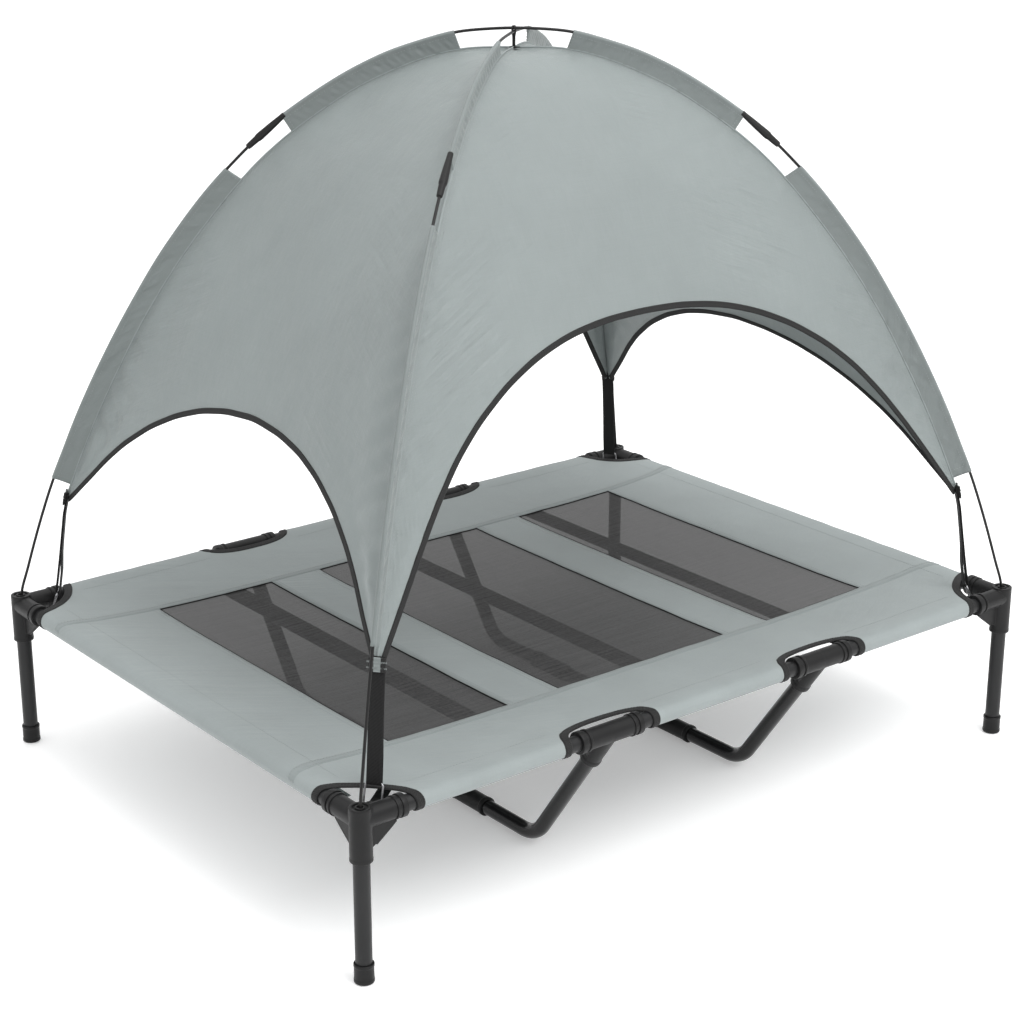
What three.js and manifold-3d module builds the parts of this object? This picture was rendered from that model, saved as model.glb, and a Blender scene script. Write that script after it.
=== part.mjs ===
// Raised dog bed: a steel-tube frame with plastic corner and tee connectors, a
// fabric sling with three mesh panels, two bent centre supports, and a domed
// canopy on two crossing fibreglass poles held down by four webbing straps.
// Millimetres, +Z up, origin under the middle of the bed at floor level.
// +X runs along the long side, +Y along the short side.
import * as THREE from 'three';
import { mergeVertices } from 'three/addons/utils/BufferGeometryUtils.js';
import Module from 'manifold-3d';

const wasm = await Module();
wasm.setup();

// ---- driving dimensions -------------------------------------------------
const LONG = 1190;          // spacing of the corner axes along X
const SHORT = 900;          // spacing of the corner axes along Y
const HX = LONG / 2;
const HY = SHORT / 2;
const TOP_Z = 242;          // top of the corner connectors
const RAIL_Z = 226;         // height of the rail axes
const TUBE_R = 11;          // steel tube, 22 mm outside
const TUBE_IN = 9.8;        // 1.2 mm wall
const BORE_R = 11.6;        // sockets for the tube
const SEG = 16;             // sides of the round pieces
const SOCKET_R = 14.75;     // vertical socket of a corner connector
const SOCKET_BOTTOM = 169;
const BARREL_R = 14.2;
const COLLAR_R = 15.7;
const BARREL_END = 62;      // corner barrel length from the corner axis
const TEE_X = 198.3;        // the tees sit at the thirds of the long sides
const TEE_HALF = 52;
const TEE_SOCKET = 62;
const FOOT_R = 13.4;
const FOOT_H = 27;
const RUN_Z = 13.8;         // axis of the floor run of a centre support
const BEND_Y = 300;         // where leg and floor run would meet
const BEND_R = 52;
const JOINER_Y = 151;
const JOINER_HALF = 39;
const JOINER_R = 14.1;
const POLE_R = 2.1;
const POLE_BORE_R = 4.6;
const PIN_BOTTOM = 210;     // the pole tip inside its connector
const PIN_R = 745.2;        // its distance from the middle, along the diagonal
const SLING_TOP = 239.6;    // the sheet where it passes over the rails
const SLING_T = 2;
const SAG = 16;             // how far the middle of the sheet hangs below that
const WEB_W = 38;           // reinforcing webbing under the mesh
const STRAP_W = 20;         // canopy hold-down straps
const STRAP_T = 2.4;
const RING_W = 23.4;        // wire centre to wire centre
const RING_H = 28;
const RING_WIRE = 1.4;
const CLEAR = 0.35;
const PANEL_T = 2;

// half profile of a pole: distance from the middle of the bed along the
// diagonal, and height, from the apex down to the connector
const POLE = [[0, 1084.5], [80, 1080], [172, 1052.5], [230, 1025], [276, 997],
  [318, 968.5], [356, 940], [383.5, 911.5], [412, 883.5], [438.5, 854.5],
  [461, 827], [483.5, 797], [505, 768], [524, 739], [542, 709.5], [560, 679.5],
  [577.5, 649.5], [593.5, 620], [609.5, 590], [625, 559], [640, 528],
  [653.5, 498], [666, 467], [680.5, 436], [692.5, 404.5], [703.5, 373.5],
  [714.5, 341], [724.5, 309.5], [734, 278]];
// half profile of the canopy seam under the pole, apex down to the tip
const SEAM = [[0, 1060.5], [60, 1058], [116, 1046.5], [170, 1026], [222, 1002],
  [270, 971], [318, 937], [362, 899], [402, 856], [440, 810], [477, 762],
  [510, 713], [542, 661.5], [570, 609], [597, 557], [622, 504], [645, 451],
  [668, 393]];
// lower edge of the long and short canopy panels: distance from the middle of
// the side, height
const EDGE_LONG = [[0, 737], [65, 735], [119, 728], [150, 721.5], [200, 706],
  [256, 681], [313, 645.5], [360, 607], [403, 561], [440, 515], [480, 462],
  [510, 422], [533, 392]];
const EDGE_SHORT = [[0, 600], [67, 594.5], [123, 583], [177, 564], [231, 537],
  [284, 501], [320, 470], [352, 438], [380, 412], [403, 391]];

const DIAG = Math.hypot(HX, HY);

// ---- helpers ------------------------------------------------------------
const toManifold = (geometry) => {
  const g = geometry.clone();
  g.deleteAttribute('normal');
  g.deleteAttribute('uv');
  const m = mergeVertices(g, 1e-4);
  return new wasm.Manifold(new wasm.Mesh({
    numProp: 3,
    vertProperties: new Float32Array(m.attributes.position.array),
    triVerts: new Uint32Array(m.index.array),
  }));
};
const fromManifold = (solid) => {
  const mesh = solid.getMesh();
  const g = new THREE.BufferGeometry();
  const n = mesh.numProp;
  const count = mesh.vertProperties.length / n;
  const p = new Float32Array(count * 3);
  for (let i = 0; i < count; i++) for (let k = 0; k < 3; k++) p[i * 3 + k] = mesh.vertProperties[i * n + k];
  g.setAttribute('position', new THREE.BufferAttribute(p, 3));
  g.setIndex(new THREE.BufferAttribute(new Uint32Array(mesh.triVerts), 1));
  g.computeVertexNormals();
  return g;
};
const add = (...parts) => parts.map(toManifold).reduce((a, b) => a.add(b));
const cut = (body, ...tools) => tools.map(toManifold).reduce((a, b) => a.subtract(b), body);

const V = (x, y, z) => new THREE.Vector3(x, y, z);
// a cylinder from point a to point b
const rod = (a, b, r, segments = SEG, r2 = r) => {
  const d = b.clone().sub(a);
  const g = new THREE.CylinderGeometry(r2, r, d.length(), segments);
  g.translate(0, d.length() / 2, 0);
  g.applyQuaternion(new THREE.Quaternion().setFromUnitVectors(V(0, 1, 0), d.clone().normalize()));
  g.translate(a.x, a.y, a.z);
  return g;
};
// a round tube with a wall, from a to b, open at both ends
const pipe = (a, b, r, inner, segments = SEG) => {
  const d = b.clone().sub(a);
  const len = d.length();
  const g = new THREE.LatheGeometry([
    new THREE.Vector2(inner, 0), new THREE.Vector2(r, 0),
    new THREE.Vector2(r, len), new THREE.Vector2(inner, len),
    new THREE.Vector2(inner, 0)], segments);
  g.applyQuaternion(new THREE.Quaternion().setFromUnitVectors(V(0, 1, 0), d.clone().normalize()));
  g.translate(a.x, a.y, a.z);
  return g;
};
// a closed body of revolution from [radius, height] pairs, along +Y, moved to
// lie from a towards b
const spindle = (profile, a, dir, segments = SEG) => {
  const g = new THREE.LatheGeometry(profile.map(([r, h]) => new THREE.Vector2(r, h)), segments);
  g.applyQuaternion(new THREE.Quaternion().setFromUnitVectors(V(0, 1, 0), dir.clone().normalize()));
  g.translate(a.x, a.y, a.z);
  return g;
};
const box = (x0, x1, y0, y1, z0, z1) => {
  const g = new THREE.BoxGeometry(x1 - x0, y1 - y0, z1 - z0);
  g.translate((x0 + x1) / 2, (y0 + y1) / 2, (z0 + z1) / 2);
  return g;
};
const table = (rows, x) => {
  const a = Math.abs(x);
  for (let i = 1; i < rows.length; i++) {
    if (a <= rows[i][0]) {
      const f = (a - rows[i - 1][0]) / (rows[i][0] - rows[i - 1][0]);
      return rows[i - 1][1] + f * (rows[i][1] - rows[i - 1][1]);
    }
  }
  return rows[rows.length - 1][1];
};
const inverse = (rows, y) => {
  for (let i = 1; i < rows.length; i++) {
    if (y >= rows[i][1]) {
      const f = (rows[i - 1][1] - y) / (rows[i - 1][1] - rows[i][1]);
      return rows[i - 1][0] + Math.max(f, 0) * (rows[i][0] - rows[i - 1][0]);
    }
  }
  return rows[rows.length - 1][0];
};

const PLASTIC = { color: 0x2b2b2c, roughness: 0.45, metalness: 0 };
const TUBE = { color: 0x303133, roughness: 0.38, metalness: 0.6 };
const GLOSS = { color: 0x121213, roughness: 0.25, metalness: 0.5 };
const FABRIC = { color: 0x9aa5a2, roughness: 0.9, metalness: 0 };
const WEB = { color: 0x1c1c1d, roughness: 0.85, metalness: 0 };
const FIBRE = { color: 0x232324, roughness: 0.4, metalness: 0 };
const WIRE = { color: 0x8d8f92, roughness: 0.3, metalness: 1 };

const root = new THREE.Group();
const put = (name, geometry, look) => {
  const mesh = new THREE.Mesh(geometry, new THREE.MeshStandardMaterial(look));
  mesh.name = name;
  root.add(mesh);
};

const CORNERS = [['front_left', -1, -1], ['front_right', 1, -1], ['rear_right', 1, 1], ['rear_left', -1, 1]];

// ---- corner connectors, legs and feet -----------------------------------
// web between a barrel and the vertical socket, a thin triangular plate
const gusset = (cx, cy, dx, dy) => {
  const s = new THREE.Shape();
  s.moveTo(5, RAIL_Z - 5);
  s.lineTo(BARREL_END - 12, RAIL_Z - 5);
  s.lineTo(BARREL_END - 12, RAIL_Z - BARREL_R - 3);
  s.lineTo(SOCKET_R + 2, SOCKET_BOTTOM + 14);
  s.lineTo(5, SOCKET_BOTTOM + 14);
  s.closePath();
  const g = new THREE.ExtrudeGeometry(s, { depth: 7, bevelEnabled: false });
  g.translate(0, 0, -3.5);
  // local x goes outward along the barrel, local y is up
  const m = new THREE.Matrix4().makeBasis(V(dx, dy, 0), V(0, 0, 1), V(dx, dy, 0).cross(V(0, 0, 1)));
  g.applyMatrix4(m);
  g.translate(cx, cy, 0);
  return g;
};
const collars = (origin, dir, ends) => ends.map(([from, to]) => rod(
  origin.clone().addScaledVector(dir, from), origin.clone().addScaledVector(dir, to), COLLAR_R));

for (const [name, sx, sy] of CORNERS) {
  const x = sx * HX, y = sy * HY;
  const centre = V(x, y, RAIL_Z);
  const ax = V(-sx, 0, 0), ay = V(0, -sy, 0);
  let c = add(
    rod(V(x, y, SOCKET_BOTTOM), V(x, y, TOP_Z), SOCKET_R),
    rod(centre, centre.clone().addScaledVector(ax, BARREL_END), BARREL_R),
    rod(centre, centre.clone().addScaledVector(ay, BARREL_END), BARREL_R),
    ...collars(centre, ax, [[47, BARREL_END + 1]]),
    ...collars(centre, ay, [[47, BARREL_END + 1]]),
    gusset(x, y, -sx, 0), gusset(x, y, 0, -sy));
  c = cut(c,
    rod(V(x, y, SOCKET_BOTTOM - 5), V(x, y, 204), BORE_R),
    rod(V(x, y, 207), V(x, y, TOP_Z + 5), POLE_BORE_R, 10),
    rod(centre.clone().addScaledVector(ax, 18), centre.clone().addScaledVector(ax, 70), BORE_R),
    rod(centre.clone().addScaledVector(ay, 18), centre.clone().addScaledVector(ay, 70), BORE_R));
  put(`corner_connector_${name}`, fromManifold(c), PLASTIC);
  put(`leg_tube_${name}`, pipe(V(x, y, 5.4), V(x, y, 203.6), TUBE_R, TUBE_IN), TUBE);
  const cap = cut(toManifold(spindle([[0, 0], [FOOT_R - 1.5, 0], [FOOT_R, 1.5], [FOOT_R, FOOT_H], [0, FOOT_H]], V(x, y, 0), V(0, 0, 1))),
    rod(V(x, y, 5), V(x, y, FOOT_H + 3), BORE_R));
  put(`foot_cap_${name}`, fromManifold(cap), PLASTIC);
}

// ---- rails --------------------------------------------------------------
const stop = 18.4;              // where a rail ends inside a corner barrel
for (const [name, sx] of [['left', -1], ['right', 1]]) {
  put(`end_rail_${name}`, pipe(V(sx * HX, -HY + stop, RAIL_Z), V(sx * HX, HY - stop, RAIL_Z), TUBE_R, TUBE_IN), TUBE);
}
for (const [name, sy] of [['front', -1], ['rear', 1]]) {
  const y = sy * HY;
  put(`side_rail_${name}_left`, pipe(V(-HX + stop, y, RAIL_Z), V(-TEE_X - 6.4, y, RAIL_Z), TUBE_R, TUBE_IN), TUBE);
  put(`side_rail_${name}_middle`, pipe(V(-TEE_X + 6.4, y, RAIL_Z), V(TEE_X - 6.4, y, RAIL_Z), TUBE_R, TUBE_IN), TUBE);
  put(`side_rail_${name}_right`, pipe(V(TEE_X + 6.4, y, RAIL_Z), V(HX - stop, y, RAIL_Z), TUBE_R, TUBE_IN), TUBE);
}

// ---- tee connectors and the two bent centre supports ----------------------
const lean = Math.atan2(HY - BEND_Y, RAIL_Z - RUN_Z);   // about 35 degrees
for (const [side, sx] of [['left', -1], ['right', 1]]) {
  const x = sx * TEE_X;
  for (const [name, sy] of [['front', -1], ['rear', 1]]) {
    const centre = V(x, sy * HY, RAIL_Z);
    const down = V(0, -sy * Math.sin(lean), -Math.cos(lean));
    const along = V(1, 0, 0);
    // web in the angle between the barrel and the leaning socket
    const s = new THREE.Shape();
    s.moveTo(-30, 6); s.lineTo(30, 6); s.lineTo(30, 12); s.lineTo(13, 46); s.lineTo(-13, 46); s.lineTo(-30, 12);
    s.closePath();
    const web = new THREE.ExtrudeGeometry(s, { depth: 7, bevelEnabled: false });
    web.translate(0, 0, -3.5);
    web.applyMatrix4(new THREE.Matrix4().makeBasis(along, down, along.clone().cross(down)));
    web.translate(centre.x, centre.y, centre.z);
    const reach = (d) => centre.clone().addScaledVector(down, d);
    let t = add(
      rod(V(x - TEE_HALF, centre.y, RAIL_Z), V(x + TEE_HALF, centre.y, RAIL_Z), BARREL_R),
      ...collars(centre, along, [[37, TEE_HALF + 1]]),
      ...collars(centre, along.clone().negate(), [[37, TEE_HALF + 1]]),
      rod(centre, reach(TEE_SOCKET), BARREL_R),
      web);
    t = cut(t,
      rod(V(x + 6, centre.y, RAIL_Z), V(x + 70, centre.y, RAIL_Z), BORE_R),
      rod(V(x - 6, centre.y, RAIL_Z), V(x - 70, centre.y, RAIL_Z), BORE_R),
      rod(reach(24), reach(TEE_SOCKET + 8), BORE_R));
    put(`tee_connector_${name}_${side}`, fromManifold(t), PLASTIC);

    // bent tube: down the lean, round the bend, along the floor to the joiner
    const corner = V(x, sy * BEND_Y, RUN_Z);
    const inward = V(0, -sy, 0);
    const turn = Math.PI / 2 - lean;                 // change of direction
    const tangent = BEND_R * Math.tan(turn / 2);
    const start = reach(24.4);
    const b0 = corner.clone().addScaledVector(down, -tangent);
    const b1 = corner.clone().addScaledVector(inward, tangent);
    const end = V(x, sy * (JOINER_Y + 0.8), RUN_Z);
    const bendPoints = [];
    for (let i = 0; i <= 16; i++) {
      const a = turn * i / 16;
      // arc from b0 to b1, centre above the corner on the inner side
      const mid = b1.clone().add(V(0, 0, BEND_R));
      bendPoints.push(V(x, mid.y + sy * BEND_R * Math.sin(turn - a), mid.z - BEND_R * Math.cos(turn - a)));
    }
    const stations = [start];
    for (let i = 0; i <= 4; i++) stations.push(bendPoints[i * 4]);
    stations.push(end);
    put(`support_bend_${name}_${side}`, stationTube(stations, TUBE_R, TUBE_IN, 12), GLOSS);

    const jy = sy * JOINER_Y;
    const sleeve = add(rod(V(x, jy - JOINER_HALF, RUN_Z), V(x, jy + JOINER_HALF, RUN_Z), JOINER_R));
    put(`support_joiner_${name}_${side}`, fromManifold(cut(sleeve,
      rod(V(x, jy - JOINER_HALF - 4, RUN_Z), V(x, jy + JOINER_HALF + 4, RUN_Z), BORE_R),
      box(x - 30, x + 30, jy - 60, jy + 60, -10, 0))), PLASTIC);
  }
  put(`support_bar_${side}`, pipe(V(x, -JOINER_Y + 0.8, RUN_Z), V(x, JOINER_Y - 0.8, RUN_Z), TUBE_R, TUBE_IN), GLOSS);
}

// the sheet of the sling, hanging a little between the rails
function dish(ex, ey) {
  const lines = (h, e, middle) => {
    const v = middle.map((f) => f * h).concat([0.85 * h, 0.92 * h, 0.96 * h, e]);
    return v.slice().reverse().map((x) => -x).concat(v);
  };
  const xs = lines(HX, ex, [0.12, 0.4, 0.62, 0.76]);
  const ys = lines(HY, ey, [0.15, 0.45, 0.68]);
  const drop = (x, h) => Math.max(0, 1 - Math.pow(Math.abs(x) / h / 0.96, 6));
  const pos = [], idx = [], id = [[], []];
  for (let side = 0; side < 2; side++) for (const x of xs) {
    const row = [];
    for (const y of ys) {
      pos.push(x, y, SLING_TOP - SAG * drop(x, HX) * drop(y, HY) - side * SLING_T);
      row.push(pos.length / 3 - 1);
    }
    id[side].push(row);
  }
  const quad = (a, b, c, d) => idx.push(a, b, c, a, c, d);
  const m = xs.length - 1, n = ys.length - 1;
  for (let i = 0; i < m; i++) for (let j = 0; j < n; j++) {
    quad(id[0][i][j], id[0][i + 1][j], id[0][i + 1][j + 1], id[0][i][j + 1]);
    quad(id[1][i][j + 1], id[1][i + 1][j + 1], id[1][i + 1][j], id[1][i][j]);
  }
  for (let i = 0; i < m; i++) {
    quad(id[0][i + 1][0], id[0][i][0], id[1][i][0], id[1][i + 1][0]);
    quad(id[0][i][n], id[0][i + 1][n], id[1][i + 1][n], id[1][i][n]);
  }
  for (let j = 0; j < n; j++) {
    quad(id[0][0][j], id[0][0][j + 1], id[1][0][j + 1], id[1][0][j]);
    quad(id[0][m][j + 1], id[0][m][j], id[1][m][j], id[1][m][j + 1]);
  }
  return oriented(pos, idx);
}

// a walled round tube through given stations, mitred at each; the path lies in
// a plane of constant x
function stationTube(points, r, inner, segments) {
  const rings = points.map((p, i) => {
    const a = i ? p.clone().sub(points[i - 1]).normalize() : null;
    const b = i < points.length - 1 ? points[i + 1].clone().sub(p).normalize() : null;
    const t = (a && b) ? a.clone().add(b).normalize() : (a || b);
    const side = V(1, 0, 0);
    const up = side.clone().cross(t).normalize();
    const stretch = a ? 1 / t.dot(a) : 1;            // mitre
    return { p, side, up, stretch };
  });
  const pos = [];
  const idx = [];
  const ring = (k, rad) => rings[k] && Array.from({ length: segments }, (_, i) => {
    const ang = i / segments * Math.PI * 2;
    const q = rings[k];
    const v = q.p.clone().addScaledVector(q.side, rad * Math.cos(ang)).addScaledVector(q.up, rad * Math.sin(ang) * q.stretch);
    pos.push(v.x, v.y, v.z);
    return pos.length / 3 - 1;
  });
  const outer = rings.map((_, k) => ring(k, r));
  const inn = rings.map((_, k) => ring(k, inner));
  const quad = (a, b, c, d) => idx.push(a, b, c, a, c, d);
  for (let k = 0; k + 1 < rings.length; k++) {
    for (let i = 0; i < segments; i++) {
      const j = (i + 1) % segments;
      quad(outer[k][i], outer[k][j], outer[k + 1][j], outer[k + 1][i]);
      quad(inn[k][j], inn[k][i], inn[k + 1][i], inn[k + 1][j]);
    }
  }
  const last = rings.length - 1;
  for (let i = 0; i < segments; i++) {
    const j = (i + 1) % segments;
    quad(outer[0][j], outer[0][i], inn[0][i], inn[0][j]);
    quad(outer[last][i], outer[last][j], inn[last][j], inn[last][i]);
  }
  return oriented(pos, idx);
}

// builds an indexed geometry and turns the faces outward if they point inward
function oriented(pos, idx) {
  let volume = 0;
  for (let i = 0; i < idx.length; i += 3) {
    const [a, b, c] = [idx[i], idx[i + 1], idx[i + 2]].map((k) => V(pos[k * 3], pos[k * 3 + 1], pos[k * 3 + 2]));
    volume += a.dot(b.cross(c));
  }
  if (volume < 0) for (let i = 0; i < idx.length; i += 3) [idx[i + 1], idx[i + 2]] = [idx[i + 2], idx[i + 1]];
  const g = new THREE.BufferGeometry();
  g.setAttribute('position', new THREE.BufferAttribute(new Float32Array(pos), 3));
  g.setIndex(idx);
  g.computeVertexNormals();
  return g;
}

// ---- bed sling ------------------------------------------------------------
// a taut sheet over the rails, folded down outside them, with its corners and
// the places of the tees cut out; the three mesh panels are sewn into it
const OUT = TUBE_R + 0.6;       // inner face of the fold, from the rail axis
const FOLD = 2;
{
  const ex = HX + OUT + FOLD, ey = HY + OUT + FOLD;
  const outline = new THREE.Shape();
  const cornerCut = 84;         // along each side from the corner axis
  const arc = (x0, y0, x1, y1, bx, by) => {
    for (let i = 1; i <= 6; i++) {
      const t = i / 6;
      outline.lineTo((1 - t) * (1 - t) * x0 + 2 * t * (1 - t) * bx + t * t * x1,
        (1 - t) * (1 - t) * y0 + 2 * t * (1 - t) * by + t * t * y1);
    }
  };
  const notch = (cx, y, inwardY, dirX) => {
    // curved notch for a tee on a long side
    const h = 72, d = 34;
    outline.lineTo(cx - dirX * h, y);
    for (let i = 1; i < 8; i++) {
      const a = Math.PI * i / 8;
      outline.lineTo(cx - dirX * h * Math.cos(a) * (0.86 + 0.14 * Math.abs(Math.cos(a))), y + inwardY * d * Math.pow(Math.sin(a), 0.6));
    }
    outline.lineTo(cx + dirX * h, y);
  };
  const cx = HX - cornerCut, cy = HY - cornerCut;
  outline.moveTo(-cx, -ey);
  notch(-TEE_X, -ey, 1, 1);
  notch(TEE_X, -ey, 1, 1);
  outline.lineTo(cx, -ey);
  const qx = HX - 66, qy = HY - 66;  // pull of the concave corner curve
  arc(cx, -ey, ex, -cy, qx + 4, -qy - 4);
  outline.lineTo(ex, cy);
  arc(ex, cy, cx, ey, qx + 4, qy + 4);
  notch(TEE_X, ey, -1, -1);
  notch(-TEE_X, ey, -1, -1);
  outline.lineTo(-cx, ey);
  arc(-cx, ey, -ex, cy, -qx - 4, qy + 4);
  outline.lineTo(-ex, -cy);
  arc(-ex, -cy, -cx, -ey, -qx - 4, -qy - 4);
  outline.closePath();
  const prism = new THREE.ExtrudeGeometry(outline, { depth: 60, bevelEnabled: false, curveSegments: 4 });
  prism.translate(0, 0, SLING_TOP - 40);
  const sheet = toManifold(prism).intersect(toManifold(dish(ex + 5, ey + 5)));
  const folds = [];
  const low = 214.6, high = SLING_TOP - 0.5;
  for (const s of [-1, 1]) {
    const y0 = s < 0 ? -ey + 0.2 : ey - FOLD - 0.1, y1 = s < 0 ? -ey + FOLD + 0.1 : ey - 0.2;
    for (const [a, b] of [[-cx + 1, -TEE_X - 73], [-TEE_X + 73, TEE_X - 73], [TEE_X + 73, cx - 1]]) folds.push(box(a, b, y0, y1, low, high));
    const x0 = s < 0 ? -ex + 0.2 : ex - FOLD - 0.1, x1 = s < 0 ? -ex + FOLD + 0.1 : ex - 0.2;
    folds.push(box(x0, x1, -cy + 1, cy - 1, low, high));
  }
  put('bed_sling', fromManifold(folds.map(toManifold).reduce((a, b) => a.add(b), sheet)), FABRIC);
}
// reinforcing webbing across the underside, from rail to rail
for (const [name, x] of [['left', -LONG / 4], ['middle', 0], ['right', LONG / 4]]) {
  put(`under_webbing_${name}`, box(x - WEB_W / 2, x + WEB_W / 2, -HY - 6, HY + 6, 212.2, 214), WEB);
}

// ---- canopy poles ---------------------------------------------------------
// unit vectors of the two diagonals
const diagonal = (sx, sy) => V(sx * HX / DIAG, sy * HY / DIAG, 0);
const apexDrop = (r, amount) => amount * Math.max(0, 1 - Math.pow(Math.abs(r) / 240, 2)) ** 2;
const FERRULE = [323, 377];     // where a ferrule starts and ends along the diagonal
for (const [pole, ends, drop] of [
  ['a', [['front_left', -1, -1], ['rear_right', 1, 1]], 4.9],
  ['b', [['front_right', 1, -1], ['rear_left', -1, 1]], 0]]) {
  for (const [name, sx, sy] of ends) {
    const u = diagonal(sx, sy);
    const at = (r, z) => V(u.x * r, u.y * r, z);
    const side = V(-u.y, u.x, 0);
    const pts = [at(PIN_R, PIN_BOTTOM), at(PIN_R, TOP_Z + 1)];
    for (let i = POLE.length - 1; i >= 0; i -= 2) if (POLE[i][0] > FERRULE[1] + 20) pts.push(at(POLE[i][0], POLE[i][1]));
    const p0 = at(FERRULE[0], table(POLE, FERRULE[0])), p1 = at(FERRULE[1], table(POLE, FERRULE[1]));
    pts.push(p1, p1.clone().lerp(p0, 0.49));
    put(`pole_${pole}_section_${name}`, wire(pts, side, POLE_R, 8), FIBRE);
    // tapered plastic ferrule, a sleeve round the joint
    const len = p0.distanceTo(p1), dir = p1.clone().sub(p0);
    put(`pole_${pole}_ferrule_${name}`, spindle([[3.1, 0], [4.4, 0], [5.8, len * 0.62], [5.4, len * 0.72], [4.1, len], [3.1, len], [3.1, 0]], p0, dir, 10), FIBRE);
  }
  const u = diagonal(ends[0][1], ends[0][2]);
  const over = [];
  const onPole = (r) => V(u.x * r, u.y * r, table(POLE, r) - apexDrop(r, drop));
  const inner = [-1, 1].map((k) => onPole(k * FERRULE[0]).lerp(onPole(k * FERRULE[1]), 0.49));
  over.push(inner[0]);
  for (let i = -6; i <= 6; i++) over.push(onPole(FERRULE[0] * i / 6));
  over.push(inner[1]);
  put(`pole_${pole}_section_middle`, wire(over, V(-u.y, u.x, 0), POLE_R, 8), FIBRE);
}

// ---- canopy cover: four sewn panels of one sheet ---------------------------
// each panel is curved one way only, from the seam under one pole to the next
const seamR = (z) => inverse(SEAM, z);
const seamLength = (() => {
  const s = [0];
  for (let i = 1; i < SEAM.length; i++) s.push(s[i - 1] + Math.hypot(SEAM[i][0] - SEAM[i - 1][0], SEAM[i][1] - SEAM[i - 1][1]));
  return s;
})();
const seamAt = (t) => {
  for (let i = 1; i < SEAM.length; i++) {
    if (t <= seamLength[i]) {
      const f = (t - seamLength[i - 1]) / (seamLength[i] - seamLength[i - 1]);
      return [SEAM[i - 1][0] + f * (SEAM[i][0] - SEAM[i - 1][0]), SEAM[i - 1][1] + f * (SEAM[i][1] - SEAM[i - 1][1])];
    }
  }
  return SEAM[SEAM.length - 1];
};
const seamAtR = (r) => {
  for (let i = 1; i < SEAM.length; i++) if (r <= SEAM[i][0]) return seamLength[i - 1] + (r - SEAM[i - 1][0]) / (SEAM[i][0] - SEAM[i - 1][0]) * (seamLength[i] - seamLength[i - 1]);
  return seamLength[SEAM.length - 1];
};
const seamAtZ = (z) => {
  for (let i = 1; i < SEAM.length; i++) if (z >= SEAM[i][1]) return seamLength[i - 1] + (SEAM[i - 1][1] - z) / (SEAM[i - 1][1] - SEAM[i][1]) * (seamLength[i] - seamLength[i - 1]);
  return seamLength[SEAM.length - 1];
};
const cover = (alongLong, sign) => {
  const half = alongLong ? HX : HY;        // half side the panel spans
  const reach = alongLong ? HY : HX;       // how far out the panel stands
  const edge = alongLong ? EDGE_LONG : EDGE_SHORT;
  const tip = SEAM[SEAM.length - 1][0] * half / DIAG - 12;
  const columns = 18, rows = 5, margin = 3;
  const pos = [], idx = [];
  const grid = [[], []];
  for (let i = 0; i <= columns; i++) {
    const w = -1 + 2 * i / columns;
    const q = tip * Math.sign(w) * Math.pow(Math.abs(w), 0.9);
    const top = seamAtR((Math.abs(q) + margin) * DIAG / half);
    const bottom = Math.max(seamAtZ(table(edge, q)), top + 6);
    for (let side = 0; side < 2; side++) grid[side].push([]);
    for (let j = 0; j <= rows; j++) {
      const t = top + (bottom - top) * j / rows;
      const [r, z] = seamAt(t);
      const [r2, z2] = seamAt(Math.min(t + 2, seamLength[seamLength.length - 1]));
      const [r1, z1] = seamAt(Math.max(t - 2, 0));
      const dn = (r2 - r1) * reach / DIAG, dz = z2 - z1;
      const l = Math.hypot(dn, dz);
      const nOut = -dz / l, nUp = dn / l;       // outward normal in the section
      for (let side = 0; side < 2; side++) {
        const off = side ? -PANEL_T : 0;
        const out = r * reach / DIAG + nOut * off;
        const up = z + nUp * off;
        const p = alongLong ? [-sign * q, sign * out, up] : [sign * out, -sign * q, up];
        pos.push(...p);
        grid[side][i].push(pos.length / 3 - 1);
      }
    }
  }
  const quad = (a, b, c, d) => idx.push(a, b, c, a, c, d);
  for (let i = 0; i < columns; i++) for (let j = 0; j < rows; j++) {
    quad(grid[0][i][j], grid[0][i + 1][j], grid[0][i + 1][j + 1], grid[0][i][j + 1]);
    quad(grid[1][i][j + 1], grid[1][i + 1][j + 1], grid[1][i + 1][j], grid[1][i][j]);
  }
  for (let i = 0; i < columns; i++) {
    quad(grid[0][i + 1][0], grid[0][i][0], grid[1][i][0], grid[1][i + 1][0]);
    quad(grid[0][i][rows], grid[0][i + 1][rows], grid[1][i + 1][rows], grid[1][i][rows]);
  }
  for (let j = 0; j < rows; j++) {
    quad(grid[0][0][j], grid[0][0][j + 1], grid[1][0][j + 1], grid[1][0][j]);
    quad(grid[0][columns][j + 1], grid[0][columns][j], grid[1][columns][j], grid[1][columns][j + 1]);
  }
  return oriented(pos, idx);
};
put('canopy_panel_front', cover(true, -1), FABRIC);
put('canopy_panel_rear', cover(true, 1), FABRIC);
put('canopy_panel_left', cover(false, -1), FABRIC);
put('canopy_panel_right', cover(false, 1), FABRIC);

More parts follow.
